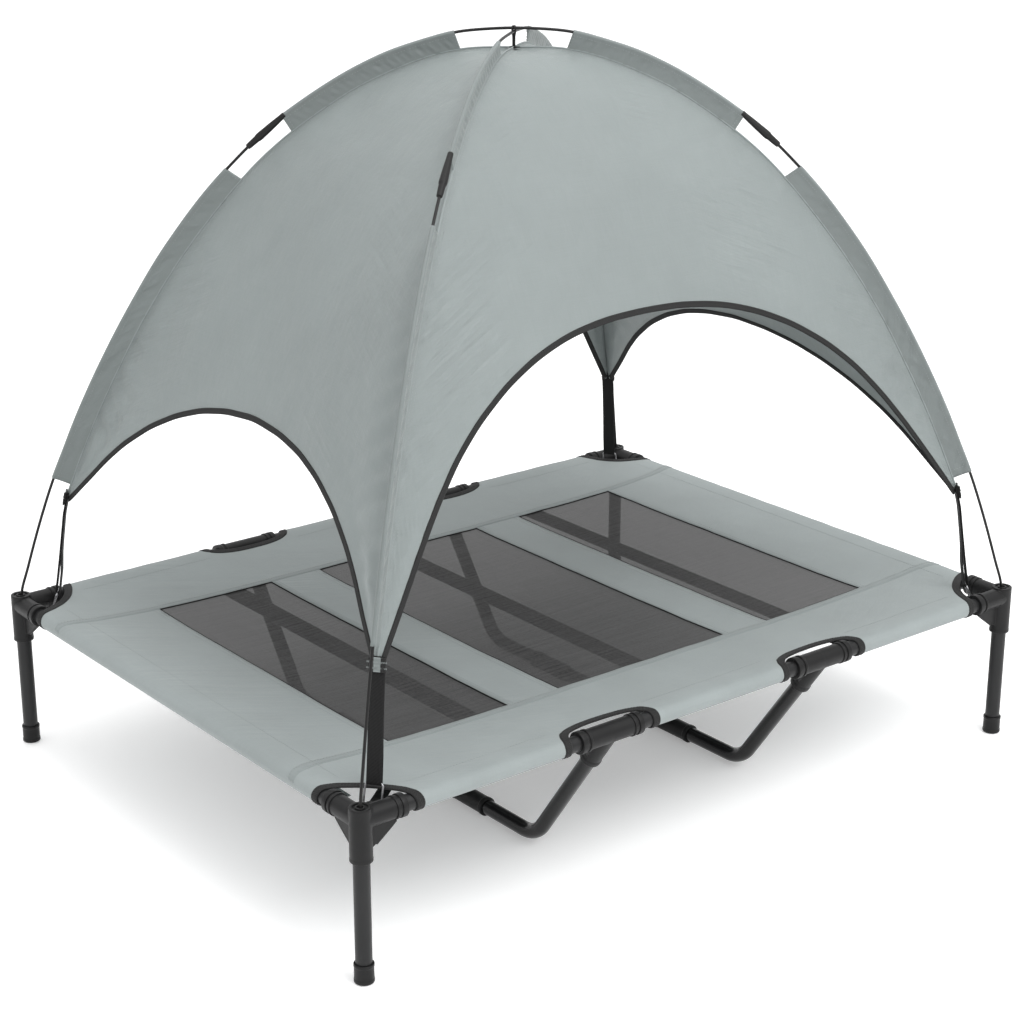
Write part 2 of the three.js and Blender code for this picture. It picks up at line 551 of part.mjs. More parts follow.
// ---- hold-down straps and their wire rings ----------------------------------
const BAR = [689, 247];         // top bar of a ring: along the diagonal, height
const TIP = [667.5, 384];       // top of a strap, just under the canopy tip
for (const [name, sx, sy] of CORNERS) {
  const u = diagonal(sx, sy);
  const side = V(-u.y, u.x, 0);
  const at = (r, z) => V(u.x * r, u.y * r, z);
  // strap: a flat band from the canopy tip to the ring
  const top = at(...TIP), bar = at(...BAR);
  const d = bar.clone().sub(top).normalize();
  const len = bar.distanceTo(top) - RING_WIRE - 0.6;
  const g = new THREE.BoxGeometry(STRAP_W, len, STRAP_T);
  g.translate(0, len / 2, 0);
  g.applyMatrix4(new THREE.Matrix4().makeBasis(side, d, side.clone().cross(d)));
  g.translate(top.x, top.y, top.z);
  put(`canopy_strap_${name}`, g, WEB);
  // ring: a rounded rectangle of wire with a slot in its lower bar, so the
  // loop of the bed corner can be slipped in and out
  const fall = at(699, 222).sub(bar).normalize();
  const at2 = (a, b) => bar.clone().addScaledVector(side, a).addScaledVector(fall, b);
  const w = RING_W / 2, h = RING_H, c = 4.5;
  const pts = [at2(1.2, h), at2(w - c, h)];
  const bend = (ca, cb, a0) => { for (let i = 1; i <= 3; i++) { const a = a0 - Math.PI / 2 * i / 3; pts.push(at2(ca + c * Math.cos(a), cb + c * Math.sin(a))); } };
  bend(w - c, h - c, Math.PI / 2);
  pts.push(at2(w, c));
  bend(w - c, c, 0);
  pts.push(at2(-w + c, 0));
  bend(-w + c, c, -Math.PI / 2);
  pts.push(at2(-w, h - c));
  bend(-w + c, h - c, Math.PI);
  pts.push(at2(-1.2, h));
  put(`strap_ring_${name}`, wire(pts, side.clone().cross(fall), RING_WIRE, 6), WIRE);
}

// a round bar through given points of one plane, mitred at each, with flat ends
function wire(points, normal, r, segments) {
  const nn = normal.clone().normalize();
  const pos = [], idx = [], rings = [];
  points.forEach((p, i) => {
    const a = i ? p.clone().sub(points[i - 1]).normalize() : null;
    const b = i < points.length - 1 ? points[i + 1].clone().sub(p).normalize() : null;
    const t = (a && b) ? a.clone().add(b).normalize() : (a || b);
    const inPlane = nn.clone().cross(t).normalize();
    const stretch = a && b ? 1 / t.dot(a) : 1;
    const ring = [];
    for (let k = 0; k < segments; k++) {
      const ang = k / segments * Math.PI * 2;
      const v = p.clone().addScaledVector(nn, r * Math.cos(ang)).addScaledVector(inPlane, r * Math.sin(ang) * stretch);
      pos.push(v.x, v.y, v.z);
      ring.push(pos.length / 3 - 1);
    }
    rings.push(ring);
  });
  for (let k = 0; k + 1 < rings.length; k++) for (let i = 0; i < segments; i++) {
    const j = (i + 1) % segments;
    idx.push(rings[k][i], rings[k][j], rings[k + 1][j], rings[k][i], rings[k + 1][j], rings[k + 1][i]);
  }
  const fan = (ring, flip) => { for (let i = 1; i + 1 < segments; i++) idx.push(ring[0], ring[flip ? i + 1 : i], ring[flip ? i : i + 1]); };
  fan(rings[0], true);
  fan(rings[rings.length - 1], false);
  return oriented(pos, idx);
}

export default root;
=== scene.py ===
import bpy, bmesh, math
import numpy as np
from mathutils import Vector, Matrix, noise
from mathutils.geometry import delaunay_2d_cdt


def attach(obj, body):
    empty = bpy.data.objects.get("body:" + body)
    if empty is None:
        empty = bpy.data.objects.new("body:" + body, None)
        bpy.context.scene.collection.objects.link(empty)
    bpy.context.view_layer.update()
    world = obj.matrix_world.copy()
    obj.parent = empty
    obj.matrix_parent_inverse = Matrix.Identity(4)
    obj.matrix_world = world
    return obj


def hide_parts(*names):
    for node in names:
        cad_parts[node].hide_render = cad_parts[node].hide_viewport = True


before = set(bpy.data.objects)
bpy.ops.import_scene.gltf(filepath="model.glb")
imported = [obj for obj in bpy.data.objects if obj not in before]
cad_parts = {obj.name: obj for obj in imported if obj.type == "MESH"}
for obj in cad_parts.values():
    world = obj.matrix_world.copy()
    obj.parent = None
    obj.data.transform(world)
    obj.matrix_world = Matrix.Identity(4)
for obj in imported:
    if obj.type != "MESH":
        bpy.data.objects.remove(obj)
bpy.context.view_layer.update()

# ---------------------------------------------------------------- dimensions (m)
HX, HY = 0.595, 0.450
D = math.hypot(HX, HY)
TOP_Z, RAIL_Z, TUBE_R = 0.242, 0.226, 0.011
TEE_X = 0.1983
RUN_Z, BEND_Y, BEND_R = 0.0138, 0.300, 0.052
JOINER_Y = 0.151
LEAN = math.atan2(HY - BEND_Y, RAIL_Z - RUN_Z)
WRAP_R = 0.0126
SAG = 0.016
CORNERS = [("front_left", -1, -1), ("front_right", 1, -1), ("rear_right", 1, 1), ("rear_left", -1, 1)]
POLE = np.array([[0, 1084.5], [80, 1080], [172, 1052.5], [230, 1025], [276, 997],
  [318, 968.5], [356, 940], [383.5, 911.5], [412, 883.5], [438.5, 854.5],
  [461, 827], [483.5, 797], [505, 768], [524, 739], [542, 709.5], [560, 679.5],
  [577.5, 649.5], [593.5, 620], [609.5, 590], [625, 559], [640, 528],
  [653.5, 498], [666, 467], [680.5, 436], [692.5, 404.5], [703.5, 373.5],
  [714.5, 341], [724.5, 309.5], [734, 278]]) / 1000
SEAM = np.array([[0, 1060.5], [60, 1058], [116, 1046.5], [170, 1026], [222, 1002],
  [270, 971], [318, 937], [362, 899], [402, 856], [440, 810], [477, 762],
  [510, 713], [542, 661.5], [570, 609], [597, 557], [622, 504], [645, 451],
  [668, 393]]) / 1000
EDGE_LONG = np.array([[0, 737], [65, 735], [119, 728], [150, 721.5], [200, 706],
  [256, 681], [313, 645.5], [360, 607], [403, 561], [440, 515], [480, 462],
  [510, 422], [533, 392]]) / 1000
EDGE_SHORT = np.array([[0, 600], [67, 594.5], [123, 583], [177, 564], [231, 537],
  [284, 501], [320, 470], [352, 438], [380, 412], [403, 391]]) / 1000


# ---------------------------------------------------------------- numeric helpers
def smooth(rows, n=600, passes=60):
    """Resamples a table of points evenly along its length and rounds off the measured steps."""
    rows = np.asarray(rows, float)
    t = np.r_[0, np.cumsum(np.hypot(*np.diff(rows, axis=0).T))]
    u = np.linspace(0, t[-1], n)
    p = np.c_[np.interp(u, t, rows[:, 0]), np.interp(u, t, rows[:, 1])]
    for _ in range(passes):
        q = p.copy()
        # the first point is a point of symmetry: its mirror image continues the curve
        q[0, 1] = (p[0, 1] + 2 * p[1, 1] + p[0, 1]) / 4 if abs(rows[0, 0]) < 1e-9 else p[0, 1]
        q[1:-1] = (p[:-2] + 2 * p[1:-1] + p[2:]) / 4
        p = q
    return p


seam = smooth(SEAM, 900, 500)
seam[:, 1] -= 0.003 * np.exp(-(seam[:, 0] / 0.06) ** 2)      # the cover hangs a little slack under the crossing
seam_t = np.r_[0, np.cumsum(np.hypot(*np.diff(seam, axis=0).T))]
pole_part = smooth(POLE, 900, 500)
edge_long = smooth(EDGE_LONG, 600, 300)
edge_short = smooth(EDGE_SHORT, 600, 200)
SEAM_L = seam_t[-1]


def seam_at(t):
    t = np.clip(t, 0, SEAM_L)
    return np.interp(t, seam_t, seam[:, 0]), np.interp(t, seam_t, seam[:, 1])


def seam_t_of_r(r):
    return np.interp(r, seam[:, 0], seam_t)


def seam_t_of_z(z):
    return np.interp(-np.asarray(z), -seam[:, 1], seam_t)


def resample(points, step):
    points = np.asarray(points, float)
    t = np.r_[0, np.cumsum(np.linalg.norm(np.diff(points, axis=0), axis=1))]
    n = max(2, int(round(t[-1] / step)) + 1)
    u = np.linspace(0, t[-1], n)
    return np.stack([np.interp(u, t, points[:, k]) for k in range(points.shape[1])], 1)


def soften(points, passes):
    p = np.array(points, float)
    for _ in range(passes):
        q = p.copy()
        q[1:-1] = (p[:-2] + 2 * p[1:-1] + p[2:]) / 4
        p = q
    return p


def unit(v):
    v = np.asarray(v, float)
    return v / np.maximum(np.linalg.norm(v, axis=-1, keepdims=True), 1e-12)


def tangents(p):
    return unit(np.gradient(np.asarray(p, float), axis=0))


def wobble(x, y, seed=0.0):
    """A smooth repeatable ripple in -1..1, a sum of fixed sines."""
    s = 0
    for k, (a, b, c) in enumerate([(1.0, 0.31, 0.4), (0.63, 1.17, 1.9), (1.71, -0.82, 3.1), (-1.13, 1.93, 5.2), (2.37, 0.57, 0.7)]):
        s = s + np.sin(a * x + b * y + c + seed * (1.3 + k)) / (1 + 0.35 * k)
    return s / 3.2


# ---------------------------------------------------------------- mesh helpers
def make(name, verts, faces, mat, smooth_faces=True, uv=None, auto=None):
    mesh = bpy.data.meshes.new(name)
    mesh.from_pydata([tuple(map(float, v)) for v in verts], [], [tuple(int(i) for i in f) for f in faces])
    mesh.validate()
    if uv is not None:
        layer = mesh.uv_layers.new(name="UVMap")
        co = np.asarray(uv, np.float32)
        idx = np.zeros(len(mesh.loops), np.int32)
        mesh.loops.foreach_get("vertex_index", idx)
        layer.data.foreach_set("uv", co[idx].ravel())
    mesh.polygons.foreach_set("use_smooth", [smooth_faces] * len(mesh.polygons))
    ob = bpy.data.objects.new(name, mesh)
    bpy.context.scene.collection.objects.link(ob)
    if mat is not None:
        mesh.materials.append(mat)
    if auto is not None:
        sharpen(ob, auto)
    return ob


def sharpen(ob, degrees):
    """Marks edges steeper than this as sharp, so that flats stay flat."""
    bm = bmesh.new()
    bm.from_mesh(ob.data)
    lim = math.radians(degrees)
    for e in bm.edges:
        if len(e.link_faces) == 2:
            e.smooth = e.calc_face_angle(0) < lim
    bm.to_mesh(ob.data)
    bm.free()


def outward(ob):
    bm = bmesh.new()
    bm.from_mesh(ob.data)
    bmesh.ops.recalc_face_normals(bm, faces=bm.faces)
    bm.to_mesh(ob.data)
    bm.free()
    return ob


class Bag:
    """Collects verts and faces of several closed shells for one object."""

    def __init__(self):
        self.v, self.f, self.uv, self.n = [], [], [], 0

    def add(self, verts, faces, uv=None):
        verts = np.asarray(verts, float)
        self.v.append(verts)
        self.f += [tuple(i + self.n for i in f) for f in faces]
        self.uv.append(np.zeros((len(verts), 2)) if uv is None else np.asarray(uv, float))
        self.n += len(verts)

    def object(self, name, mat, **kw):
        return outward(make(name, np.concatenate(self.v), self.f, mat, uv=np.concatenate(self.uv), **kw))


def sweep(points, side, up, section, closed_path=False, caps=True):
    """Sweeps a closed section ((a, b) pairs, or one list per station) along points. side and up are unit vectors at each point."""
    points, side, up = (np.asarray(a, float) for a in (points, side, up))
    n = len(points)
    sec = np.asarray(section, float)
    if sec.ndim == 2:
        sec = np.repeat(sec[None], n, 0)
    m = sec.shape[1]
    verts = points[:, None] + sec[..., :1] * side[:, None] + sec[..., 1:] * up[:, None]
    length = np.r_[0, np.cumsum(np.linalg.norm(np.diff(points, axis=0), axis=1))]
    around = np.r_[0, np.cumsum(np.linalg.norm(np.diff(sec[0], axis=0), axis=1))]
    uv = np.stack(np.meshgrid(length, around, indexing="ij"), -1).reshape(-1, 2)
    faces = []
    for i in range(n if closed_path else n - 1):
        a, b = i * m, ((i + 1) % n) * m
        for k in range(m):
            k2 = (k + 1) % m
            faces.append((a + k, a + k2, b + k2, b + k))
    if caps and not closed_path:
        faces.append(tuple(range(m - 1, -1, -1)))
        faces.append(tuple((n - 1) * m + k for k in range(m)))
    return verts.reshape(-1, 3), faces, uv


def frames(points, hint):
    """Side and up vectors along a path; up stays close to hint (one vector or one per point)."""
    t = tangents(points)
    up = np.broadcast_to(np.asarray(hint, float), t.shape)
    side = unit(np.cross(t, up))
    return side, unit(np.cross(side, t))


def ring_section(r, n):
    a = np.linspace(0, 2 * np.pi, n, endpoint=False)
    return np.c_[r * np.cos(a), r * np.sin(a)]


def tube(points, r, n=32, hint=(0, 0, 1)):
    side, up = frames(points, hint)
    return sweep(points, side, up, ring_section(r, n))


def band_section(width, thick, round_=0.35):
    """A flat strap's section with rounded edges."""
    w, t = width / 2, thick / 2
    c = min(thick * round_, t * 0.95)
    return np.array([(-w, -t + c), (-w + c, -t), (-w / 2, -t), (0, -t), (w / 2, -t), (w - c, -t), (w, -t + c), (w, t - c), (w - c, t), (w / 2, t), (0, t), (-w / 2, t), (-w + c, t), (-w, t - c)])


def lathe(profile, origin, direction, n=48):
    """A closed body of revolution. profile is (radius, height) pairs, first and last on the axis."""
    d = unit(direction)
    ref = np.array([0, 0, 1.0]) if abs(d[2]) < 0.9 else np.array([1.0, 0, 0])
    s = unit(np.cross(d, ref))
    u = np.cross(s, d)
    a = np.linspace(0, 2 * np.pi, n, endpoint=False)
    verts, faces, rows, uv = [], [], [], []
    run = 0.0
    last = None
    for r, h in profile:
        if last is not None:
            run += math.hypot(r - last[0], h - last[1])
        last = (r, h)
        if r < 1e-7:
            rows.append([len(verts)])
            verts.append(np.asarray(origin) + d * h)
            uv.append((0, run))
        else:
            rows.append(list(range(len(verts), len(verts) + n)))
            for ang in a:
                verts.append(np.asarray(origin) + d * h + r * (math.cos(ang) * s + math.sin(ang) * u))
                uv.append((ang * 0.012, run))
    for p, q in zip(rows, rows[1:]):
        if len(p) == 1 and len(q) == 1:
            continue
        for k in range(n):
            k2 = (k + 1) % n
            if len(p) == 1:
                faces.append((p[0], q[k2], q[k]))
            elif len(q) == 1:
                faces.append((p[k], p[k2], q[0]))
            else:
                faces.append((p[k], p[k2], q[k2], q[k]))
    return np.array(verts), faces, uv


def rounded(profile, r=0.0006, steps=3):
    """Rounds the corners of a lathe profile."""
    pts = [np.array(p, float) for p in profile]
    out = [pts[0]]
    for i in range(1, len(pts) - 1):
        a, b, c = pts[i - 1], pts[i], pts[i + 1]
        u, v = a - b, c - b
        lu, lv = np.linalg.norm(u), np.linalg.norm(v)
        if lu < 1e-9 or lv < 1e-9:
            continue
        turn = np.dot(u, v) / lu / lv
        k = min(r, lu * 0.45, lv * 0.45)
        if turn < -0.995 or b[0] < 1e-7:
            out.append(b)
            continue
        p0, p1 = b + u / lu * k, b + v / lv * k
        for j in range(steps + 1):
            s = j / steps
            out.append((1 - s) ** 2 * p0 + 2 * s * (1 - s) * b + s * s * p1)
    out.append(pts[-1])
    return [tuple(p) for p in out]


def stitch_rows(rows, length=0.0030, pitch=0.0046, r=0.00032, lift=0.0001):
    """Small thread loops lying along paths. rows is a list of (points, normals)."""
    bag_v, bag_f, n0 = [], [], 0
    for pts, nrm in rows:
        pts = np.asarray(pts, float)
        nrm = np.broadcast_to(np.asarray(nrm, float), pts.shape)
        t = np.r_[0, np.cumsum(np.linalg.norm(np.diff(pts, axis=0), axis=1))]
        count = int(t[-1] / pitch)
        if count < 1:
            continue
        start = (t[-1] - (count - 1) * pitch - length) / 2 + np.arange(count) * pitch
        ev = lambda u: np.stack([np.interp(u, t, pts[:, k]) for k in range(3)], 1)
        en = lambda u: unit(np.stack([np.interp(u, t, nrm[:, k]) for k in range(3)], 1))
        a, b, m = ev(start), ev(start + length), ev(start + length / 2)
        nn = en(start + length / 2)
        ax = unit(b - a)
        s = unit(np.cross(ax, nn))
        m = m + nn * (lift + r * 0.7)
        a = a + nn * (lift - r * 0.3)
        b = b + nn * (lift - r * 0.3)
        q1, q2 = a * 0.3 + b * 0.7, a * 0.7 + b * 0.3
        q1 = q1 + nn * r * 0.8
        q2 = q2 + nn * r * 0.8
        rows_v = [a]
        for q in (q2, q1):
            rows_v += [q + s * r, q + nn * r, q - s * r, q - nn * r]
        rows_v.append(b)
        v = np.stack(rows_v, 1).reshape(-1, 3)
        f = []
        tmpl = [(0, 2, 1), (0, 3, 2), (0, 4, 3), (0, 1, 4),
                (1, 2, 6, 5), (2, 3, 7, 6), (3, 4, 8, 7), (4, 1, 5, 8),
                (5, 6, 9), (6, 7, 9), (7, 8, 9), (8, 5, 9)]
        for i in range(count):
            o = n0 + i * 10
            f += [tuple(o + k for k in q) for q in tmpl]
        bag_v.append(v)
        bag_f += f
        n0 += len(v)
    return np.concatenate(bag_v), bag_f


def moulded(shells, voxel=0.00075, iterations=4, keep=0.30):
    """One skin round several overlapping closed shells, with small fillets: returns a mesh."""
    bag = Bag()
    for v, f in shells:
        bag.add(v, f)
    ob = bag.object("tmp_mould", None)
    m = ob.modifiers.new("r", "REMESH")
    m.mode = "VOXEL"
    m.voxel_size = voxel
    m.use_smooth_shade = True
    s = ob.modifiers.new("s", "SMOOTH")
    s.factor = 0.5
    s.iterations = iterations
    d = ob.modifiers.new("d", "DECIMATE")
    d.ratio = keep
    dg = bpy.context.evaluated_depsgraph_get()
    dg.update()
    mesh = bpy.data.meshes.new_from_object(ob.evaluated_get(dg), depsgraph=dg)
    bpy.data.objects.remove(ob)
    return mesh


def place(mesh, name, matrix, mat):
    new = mesh.copy()
    new.name = name
    new.transform(matrix)
    if matrix.determinant() < 0:
        new.flip_normals()
    new.materials.clear()
    new.materials.append(mat)
    new.polygons.foreach_set("use_smooth", [True] * len(new.polygons))
    ob = bpy.data.objects.new(name, new)
    bpy.context.scene.collection.objects.link(ob)
    return ob


# ---------------------------------------------------------------- materials
def material(name):
    m = bpy.data.materials.new(name)
    m.use_nodes = True
    nt = m.node_tree
    nt.nodes.clear()
    out = nt.nodes.new("ShaderNodeOutputMaterial")
    p = nt.nodes.new("ShaderNodeBsdfPrincipled")
    nt.links.new(p.outputs[0], out.inputs[0])
    return m, nt, p


def node(nt, kind, **props):
    n = nt.nodes.new(kind)
    for k, v in props.items():
        if k.startswith("in_"):
            key = k[3:].replace("_", " ")
            n.inputs[key].default_value = v
        else:
            setattr(n, k, v)
    return n


def ramp(nt, source, stops):
    r = nt.nodes.new("ShaderNodeValToRGB")
    e = r.color_ramp.elements
    while len(e) > 1:
        e.remove(e[-1])
    for i, (pos, col) in enumerate(stops):
        el = e[0] if i == 0 else e.new(pos)
        el.position = pos
        el.color = (*col, 1) if len(col) == 3 else col
    nt.links.new(source, r.inputs[0])
    return r.outputs[0]


def maths(nt, op, a, b=None, clamp=False):
    n = nt.nodes.new("ShaderNodeMath")
    n.operation = op
    n.use_clamp = clamp
    for i, v in enumerate((a, b)):
        if v is None:
            continue
        if isinstance(v, (int, float)):
            n.inputs[i].default_value = v
        else:
            nt.links.new(v, n.inputs[i])
    return n.outputs[0]


def scaled(nt, vec, s):
    n = nt.nodes.new("ShaderNodeMapping")
    n.inputs["Scale"].default_value = s
    nt.links.new(vec, n.inputs["Vector"])
    return n.outputs[0]


def noise_tex(nt, vec, scale, detail=3, rough=0.5):
    n = nt.nodes.new("ShaderNodeTexNoise")
    n.inputs["Scale"].default_value = scale
    n.inputs["Detail"].default_value = detail
    n.inputs["Roughness"].default_value = rough
    nt.links.new(vec, n.inputs["Vector"])
    return n.outputs["Fac"]


def wave(nt, vec, period, axis):
    n = nt.nodes.new("ShaderNodeTexWave")
    n.wave_type = "BANDS"
    n.bands_direction = axis
    n.wave_profile = "SIN"
    n.inputs["Scale"].default_value = 2 * math.pi / (20 * period)
    nt.links.new(vec, n.inputs["Vector"])
    return n.outputs["Fac"]


def cloth(name, light, dark, period=0.0011, coord="UV", mottle=7.0, sheen=0.25, rough=(0.72, 0.9), bump=0.5, slub=0.35, crease=0.0, spec=0.35):
    """A plain-weave cloth: threads both ways, uneven yarns, soft mottling."""
    m, nt, p = material(name)
    tc = nt.nodes.new("ShaderNodeTexCoord")
    vec = tc.outputs[coord]
    obj = tc.outputs["Object"]
    warp = wave(nt, vec, period, "X")
    weft = wave(nt, vec, period, "Y")
    # over and under: the two sets of threads take turns
    weave = maths(nt, "MAXIMUM", maths(nt, "MULTIPLY", warp, 0.9), weft)
    yarn_x = noise_tex(nt, scaled(nt, vec, (900, 14, 1)), 1.0, 2)
    yarn_y = noise_tex(nt, scaled(nt, vec, (14, 900, 1)), 1.0, 2)
    yarn = maths(nt, "ADD", maths(nt, "MULTIPLY", yarn_x, 0.5), maths(nt, "MULTIPLY", yarn_y, 0.5))
    patches = noise_tex(nt, obj, mottle, 5, 0.6)
    mix = maths(nt, "ADD", maths(nt, "MULTIPLY", yarn, slub), maths(nt, "MULTIPLY", patches, 1 - slub))
    mix = maths(nt, "ADD", mix, maths(nt, "MULTIPLY", maths(nt, "SUBTRACT", weave, 0.7), 0.12))
    colour = ramp(nt, mix, [(0.28, dark), (0.72, light)])
    nt.links.new(colour, p.inputs["Base Color"])
    r = ramp(nt, patches, [(0.3, (rough[0],) * 3), (0.7, (rough[1],) * 3)])
    nt.links.new(r, p.inputs["Roughness"])
    p.inputs["Sheen Weight"].default_value = sheen
    p.inputs["Sheen Roughness"].default_value = 0.45
    p.inputs["Specular IOR Level"].default_value = spec
    height = maths(nt, "ADD", maths(nt, "MULTIPLY", weave, 0.6), maths(nt, "MULTIPLY", yarn, 0.5))
    b = nt.nodes.new("ShaderNodeBump")
    b.inputs["Strength"].default_value = bump
    b.inputs["Distance"].default_value = 0.00025
    nt.links.new(height, b.inputs["Height"])
    last = b.outputs["Normal"]
    if crease:
        c = nt.nodes.new("ShaderNodeBump")
        c.inputs["Strength"].default_value = 0.9
        c.inputs["Distance"].default_value = crease
        cr = noise_tex(nt, scaled(nt, obj, (9, 9, 5)), 1.6, 4, 0.55)
        nt.links.new(cr, c.inputs["Height"])
        nt.links.new(last, c.inputs["Normal"])
        last = c.outputs["Normal"]
        # fine wrinkles that run down towards the seams, in patches; the cloth's own u is across, v down
        cut = nt.nodes.new("ShaderNodeSeparateXYZ")
        nt.links.new(vec, cut.inputs[0])
        across = maths(nt, "ABSOLUTE", cut.outputs[0])
        a = maths(nt, "SUBTRACT", maths(nt, "MULTIPLY", cut.outputs[1], 0.876), maths(nt, "MULTIPLY", across, 0.48))
        b2 = maths(nt, "ADD", maths(nt, "MULTIPLY", cut.outputs[1], 0.48), maths(nt, "MULTIPLY", across, 0.876))
        both = nt.nodes.new("ShaderNodeCombineXYZ")
        nt.links.new(maths(nt, "MULTIPLY", a, 62.0), both.inputs[0])
        nt.links.new(maths(nt, "MULTIPLY", b2, 6.5), both.inputs[1])
        line = noise_tex(nt, both.outputs[0], 1.0, 3, 0.5)
        where = ramp(nt, noise_tex(nt, obj, 5.0, 2), [(0.42, (0.12,) * 3), (0.62, (1.0,) * 3)])
        # none along the middle of a panel, where both sides' wrinkles would meet
        off_middle = ramp(nt, across, [(0.05, (0.0,) * 3), (0.24, (1.0,) * 3)])
        where = maths(nt, "MULTIPLY", where, off_middle)
        k = nt.nodes.new("ShaderNodeBump")
        k.inputs["Strength"].default_value = 1.0
        k.inputs["Distance"].default_value = crease * 1.5
        nt.links.new(maths(nt, "MULTIPLY", maths(nt, "SUBTRACT", line, 0.5), where), k.inputs["Height"])
        nt.links.new(last, k.inputs["Normal"])
        last = k.outputs["Normal"]
    nt.links.new(last, p.inputs["Normal"])
    return m


def webbing(name, light, dark, across=0.0016, along=0.0024):
    """Woven strap: ribs along its length with a fine twill across. UV x runs along the strap."""
    m, nt, p = material(name)
    tc = nt.nodes.new("ShaderNodeTexCoord")
    vec = tc.outputs["UV"]
    ribs = wave(nt, vec, across, "Y")
    twill = wave(nt, vec, along, "DIAGONAL")
    fuzz = noise_tex(nt, tc.outputs["Object"], 900, 3)
    h = maths(nt, "ADD", maths(nt, "MULTIPLY", ribs, 0.55), maths(nt, "ADD", maths(nt, "MULTIPLY", twill, 0.35), maths(nt, "MULTIPLY", fuzz, 0.3)))
    nt.links.new(ramp(nt, h, [(0.25, dark), (0.95, light)]), p.inputs["Base Color"])
    nt.links.new(ramp(nt, fuzz, [(0.3, (0.62,) * 3), (0.7, (0.82,) * 3)]), p.inputs["Roughness"])
    p.inputs["Sheen Weight"].default_value = 0.03
    p.inputs["Specular IOR Level"].default_value = 0.22
    b = nt.nodes.new("ShaderNodeBump")
    b.inputs["Strength"].default_value = 0.7
    b.inputs["Distance"].default_value = 0.0003
    nt.links.new(h, b.inputs["Height"])
    nt.links.new(b.outputs["Normal"], p.inputs["Normal"])
    return m


def plastic(name, light, dark, rough=(0.38, 0.5), grain=0.00006, scale=1500, worn=0.0):
    """Moulded plastic: fine spark-eroded grain, faint flow marks and patchy scuffing in the roughness."""
    m, nt, p = material(name)
    tc = nt.nodes.new("ShaderNodeTexCoord")
    obj = tc.outputs["Object"]
    fine = noise_tex(nt, obj, scale, 4, 0.6)
    flow = noise_tex(nt, obj, 22, 3, 0.5)
    scuff = noise_tex(nt, scaled(nt, obj, (60, 60, 260)), 1.0, 5, 0.7)
    nt.links.new(ramp(nt, maths(nt, "ADD", maths(nt, "MULTIPLY", flow, 0.7), maths(nt, "MULTIPLY", fine, 0.3)), [(0.3, dark), (0.7, light)]), p.inputs["Base Color"])
    nt.links.new(ramp(nt, maths(nt, "ADD", maths(nt, "MULTIPLY", scuff, 0.6), maths(nt, "MULTIPLY", fine, 0.4)), [(0.35, (rough[0],) * 3), (0.68, (rough[1],) * 3)]), p.inputs["Roughness"])
    p.inputs["IOR"].default_value = 1.47
    p.inputs["Specular IOR Level"].default_value = 0.25
    b = nt.nodes.new("ShaderNodeBump")
    b.inputs["Strength"].default_value = 0.5
    b.inputs["Distance"].default_value = grain
    nt.links.new(fine, b.inputs["Height"])
    nt.links.new(b.outputs["Normal"], p.inputs["Normal"])
    return m


def paint(name, light, dark, rough=(0.25, 0.36), peel=0.00005, coat=0.0, metal=0.0):
    """Painted or powder-coated steel: orange peel and faint handling marks."""
    m, nt, p = material(name)
    tc = nt.nodes.new("ShaderNodeTexCoord")
    obj = tc.outputs["Object"]
    peel_tex = noise_tex(nt, obj, 420, 2, 0.5)
    marks = noise_tex(nt, scaled(nt, obj, (140, 140, 22)), 1.0, 6, 0.75)
    tone = noise_tex(nt, obj, 11, 2)
    nt.links.new(ramp(nt, tone, [(0.3, dark), (0.7, light)]), p.inputs["Base Color"])
    nt.links.new(ramp(nt, marks, [(0.4, (rough[0],) * 3), (0.72, (rough[1],) * 3)]), p.inputs["Roughness"])
    p.inputs["Coat Weight"].default_value = coat
    p.inputs["Specular IOR Level"].default_value = 0.27
    p.inputs["Coat Roughness"].default_value = 0.12
    p.inputs["Metallic"].default_value = metal
    b = nt.nodes.new("ShaderNodeBump")
    b.inputs["Strength"].default_value = 0.35
    b.inputs["Distance"].default_value = peel
    nt.links.new(peel_tex, b.inputs["Height"])
    nt.links.new(b.outputs["Normal"], p.inputs["Normal"])
    return m


def metal(name, light, dark, rough=(0.18, 0.34)):
    m, nt, p = material(name)
    tc = nt.nodes.new("ShaderNodeTexCoord")
    obj = tc.outputs["Object"]
    brush = noise_tex(nt, scaled(nt, obj, (700, 700, 90)), 1.0, 4, 0.6)
    nt.links.new(ramp(nt, noise_tex(nt, obj, 90, 3), [(0.3, dark), (0.7, light)]), p.inputs["Base Color"])
    nt.links.new(ramp(nt, brush, [(0.35, (rough[0],) * 3), (0.7, (rough[1],) * 3)]), p.inputs["Roughness"])
    p.inputs["Metallic"].default_value = 1.0
    b = nt.nodes.new("ShaderNodeBump")
    b.inputs["Strength"].default_value = 0.3
    b.inputs["Distance"].default_value = 0.00003
    nt.links.new(brush, b.inputs["Height"])
    nt.links.new(b.outputs["Normal"], p.inputs["Normal"])
    return m


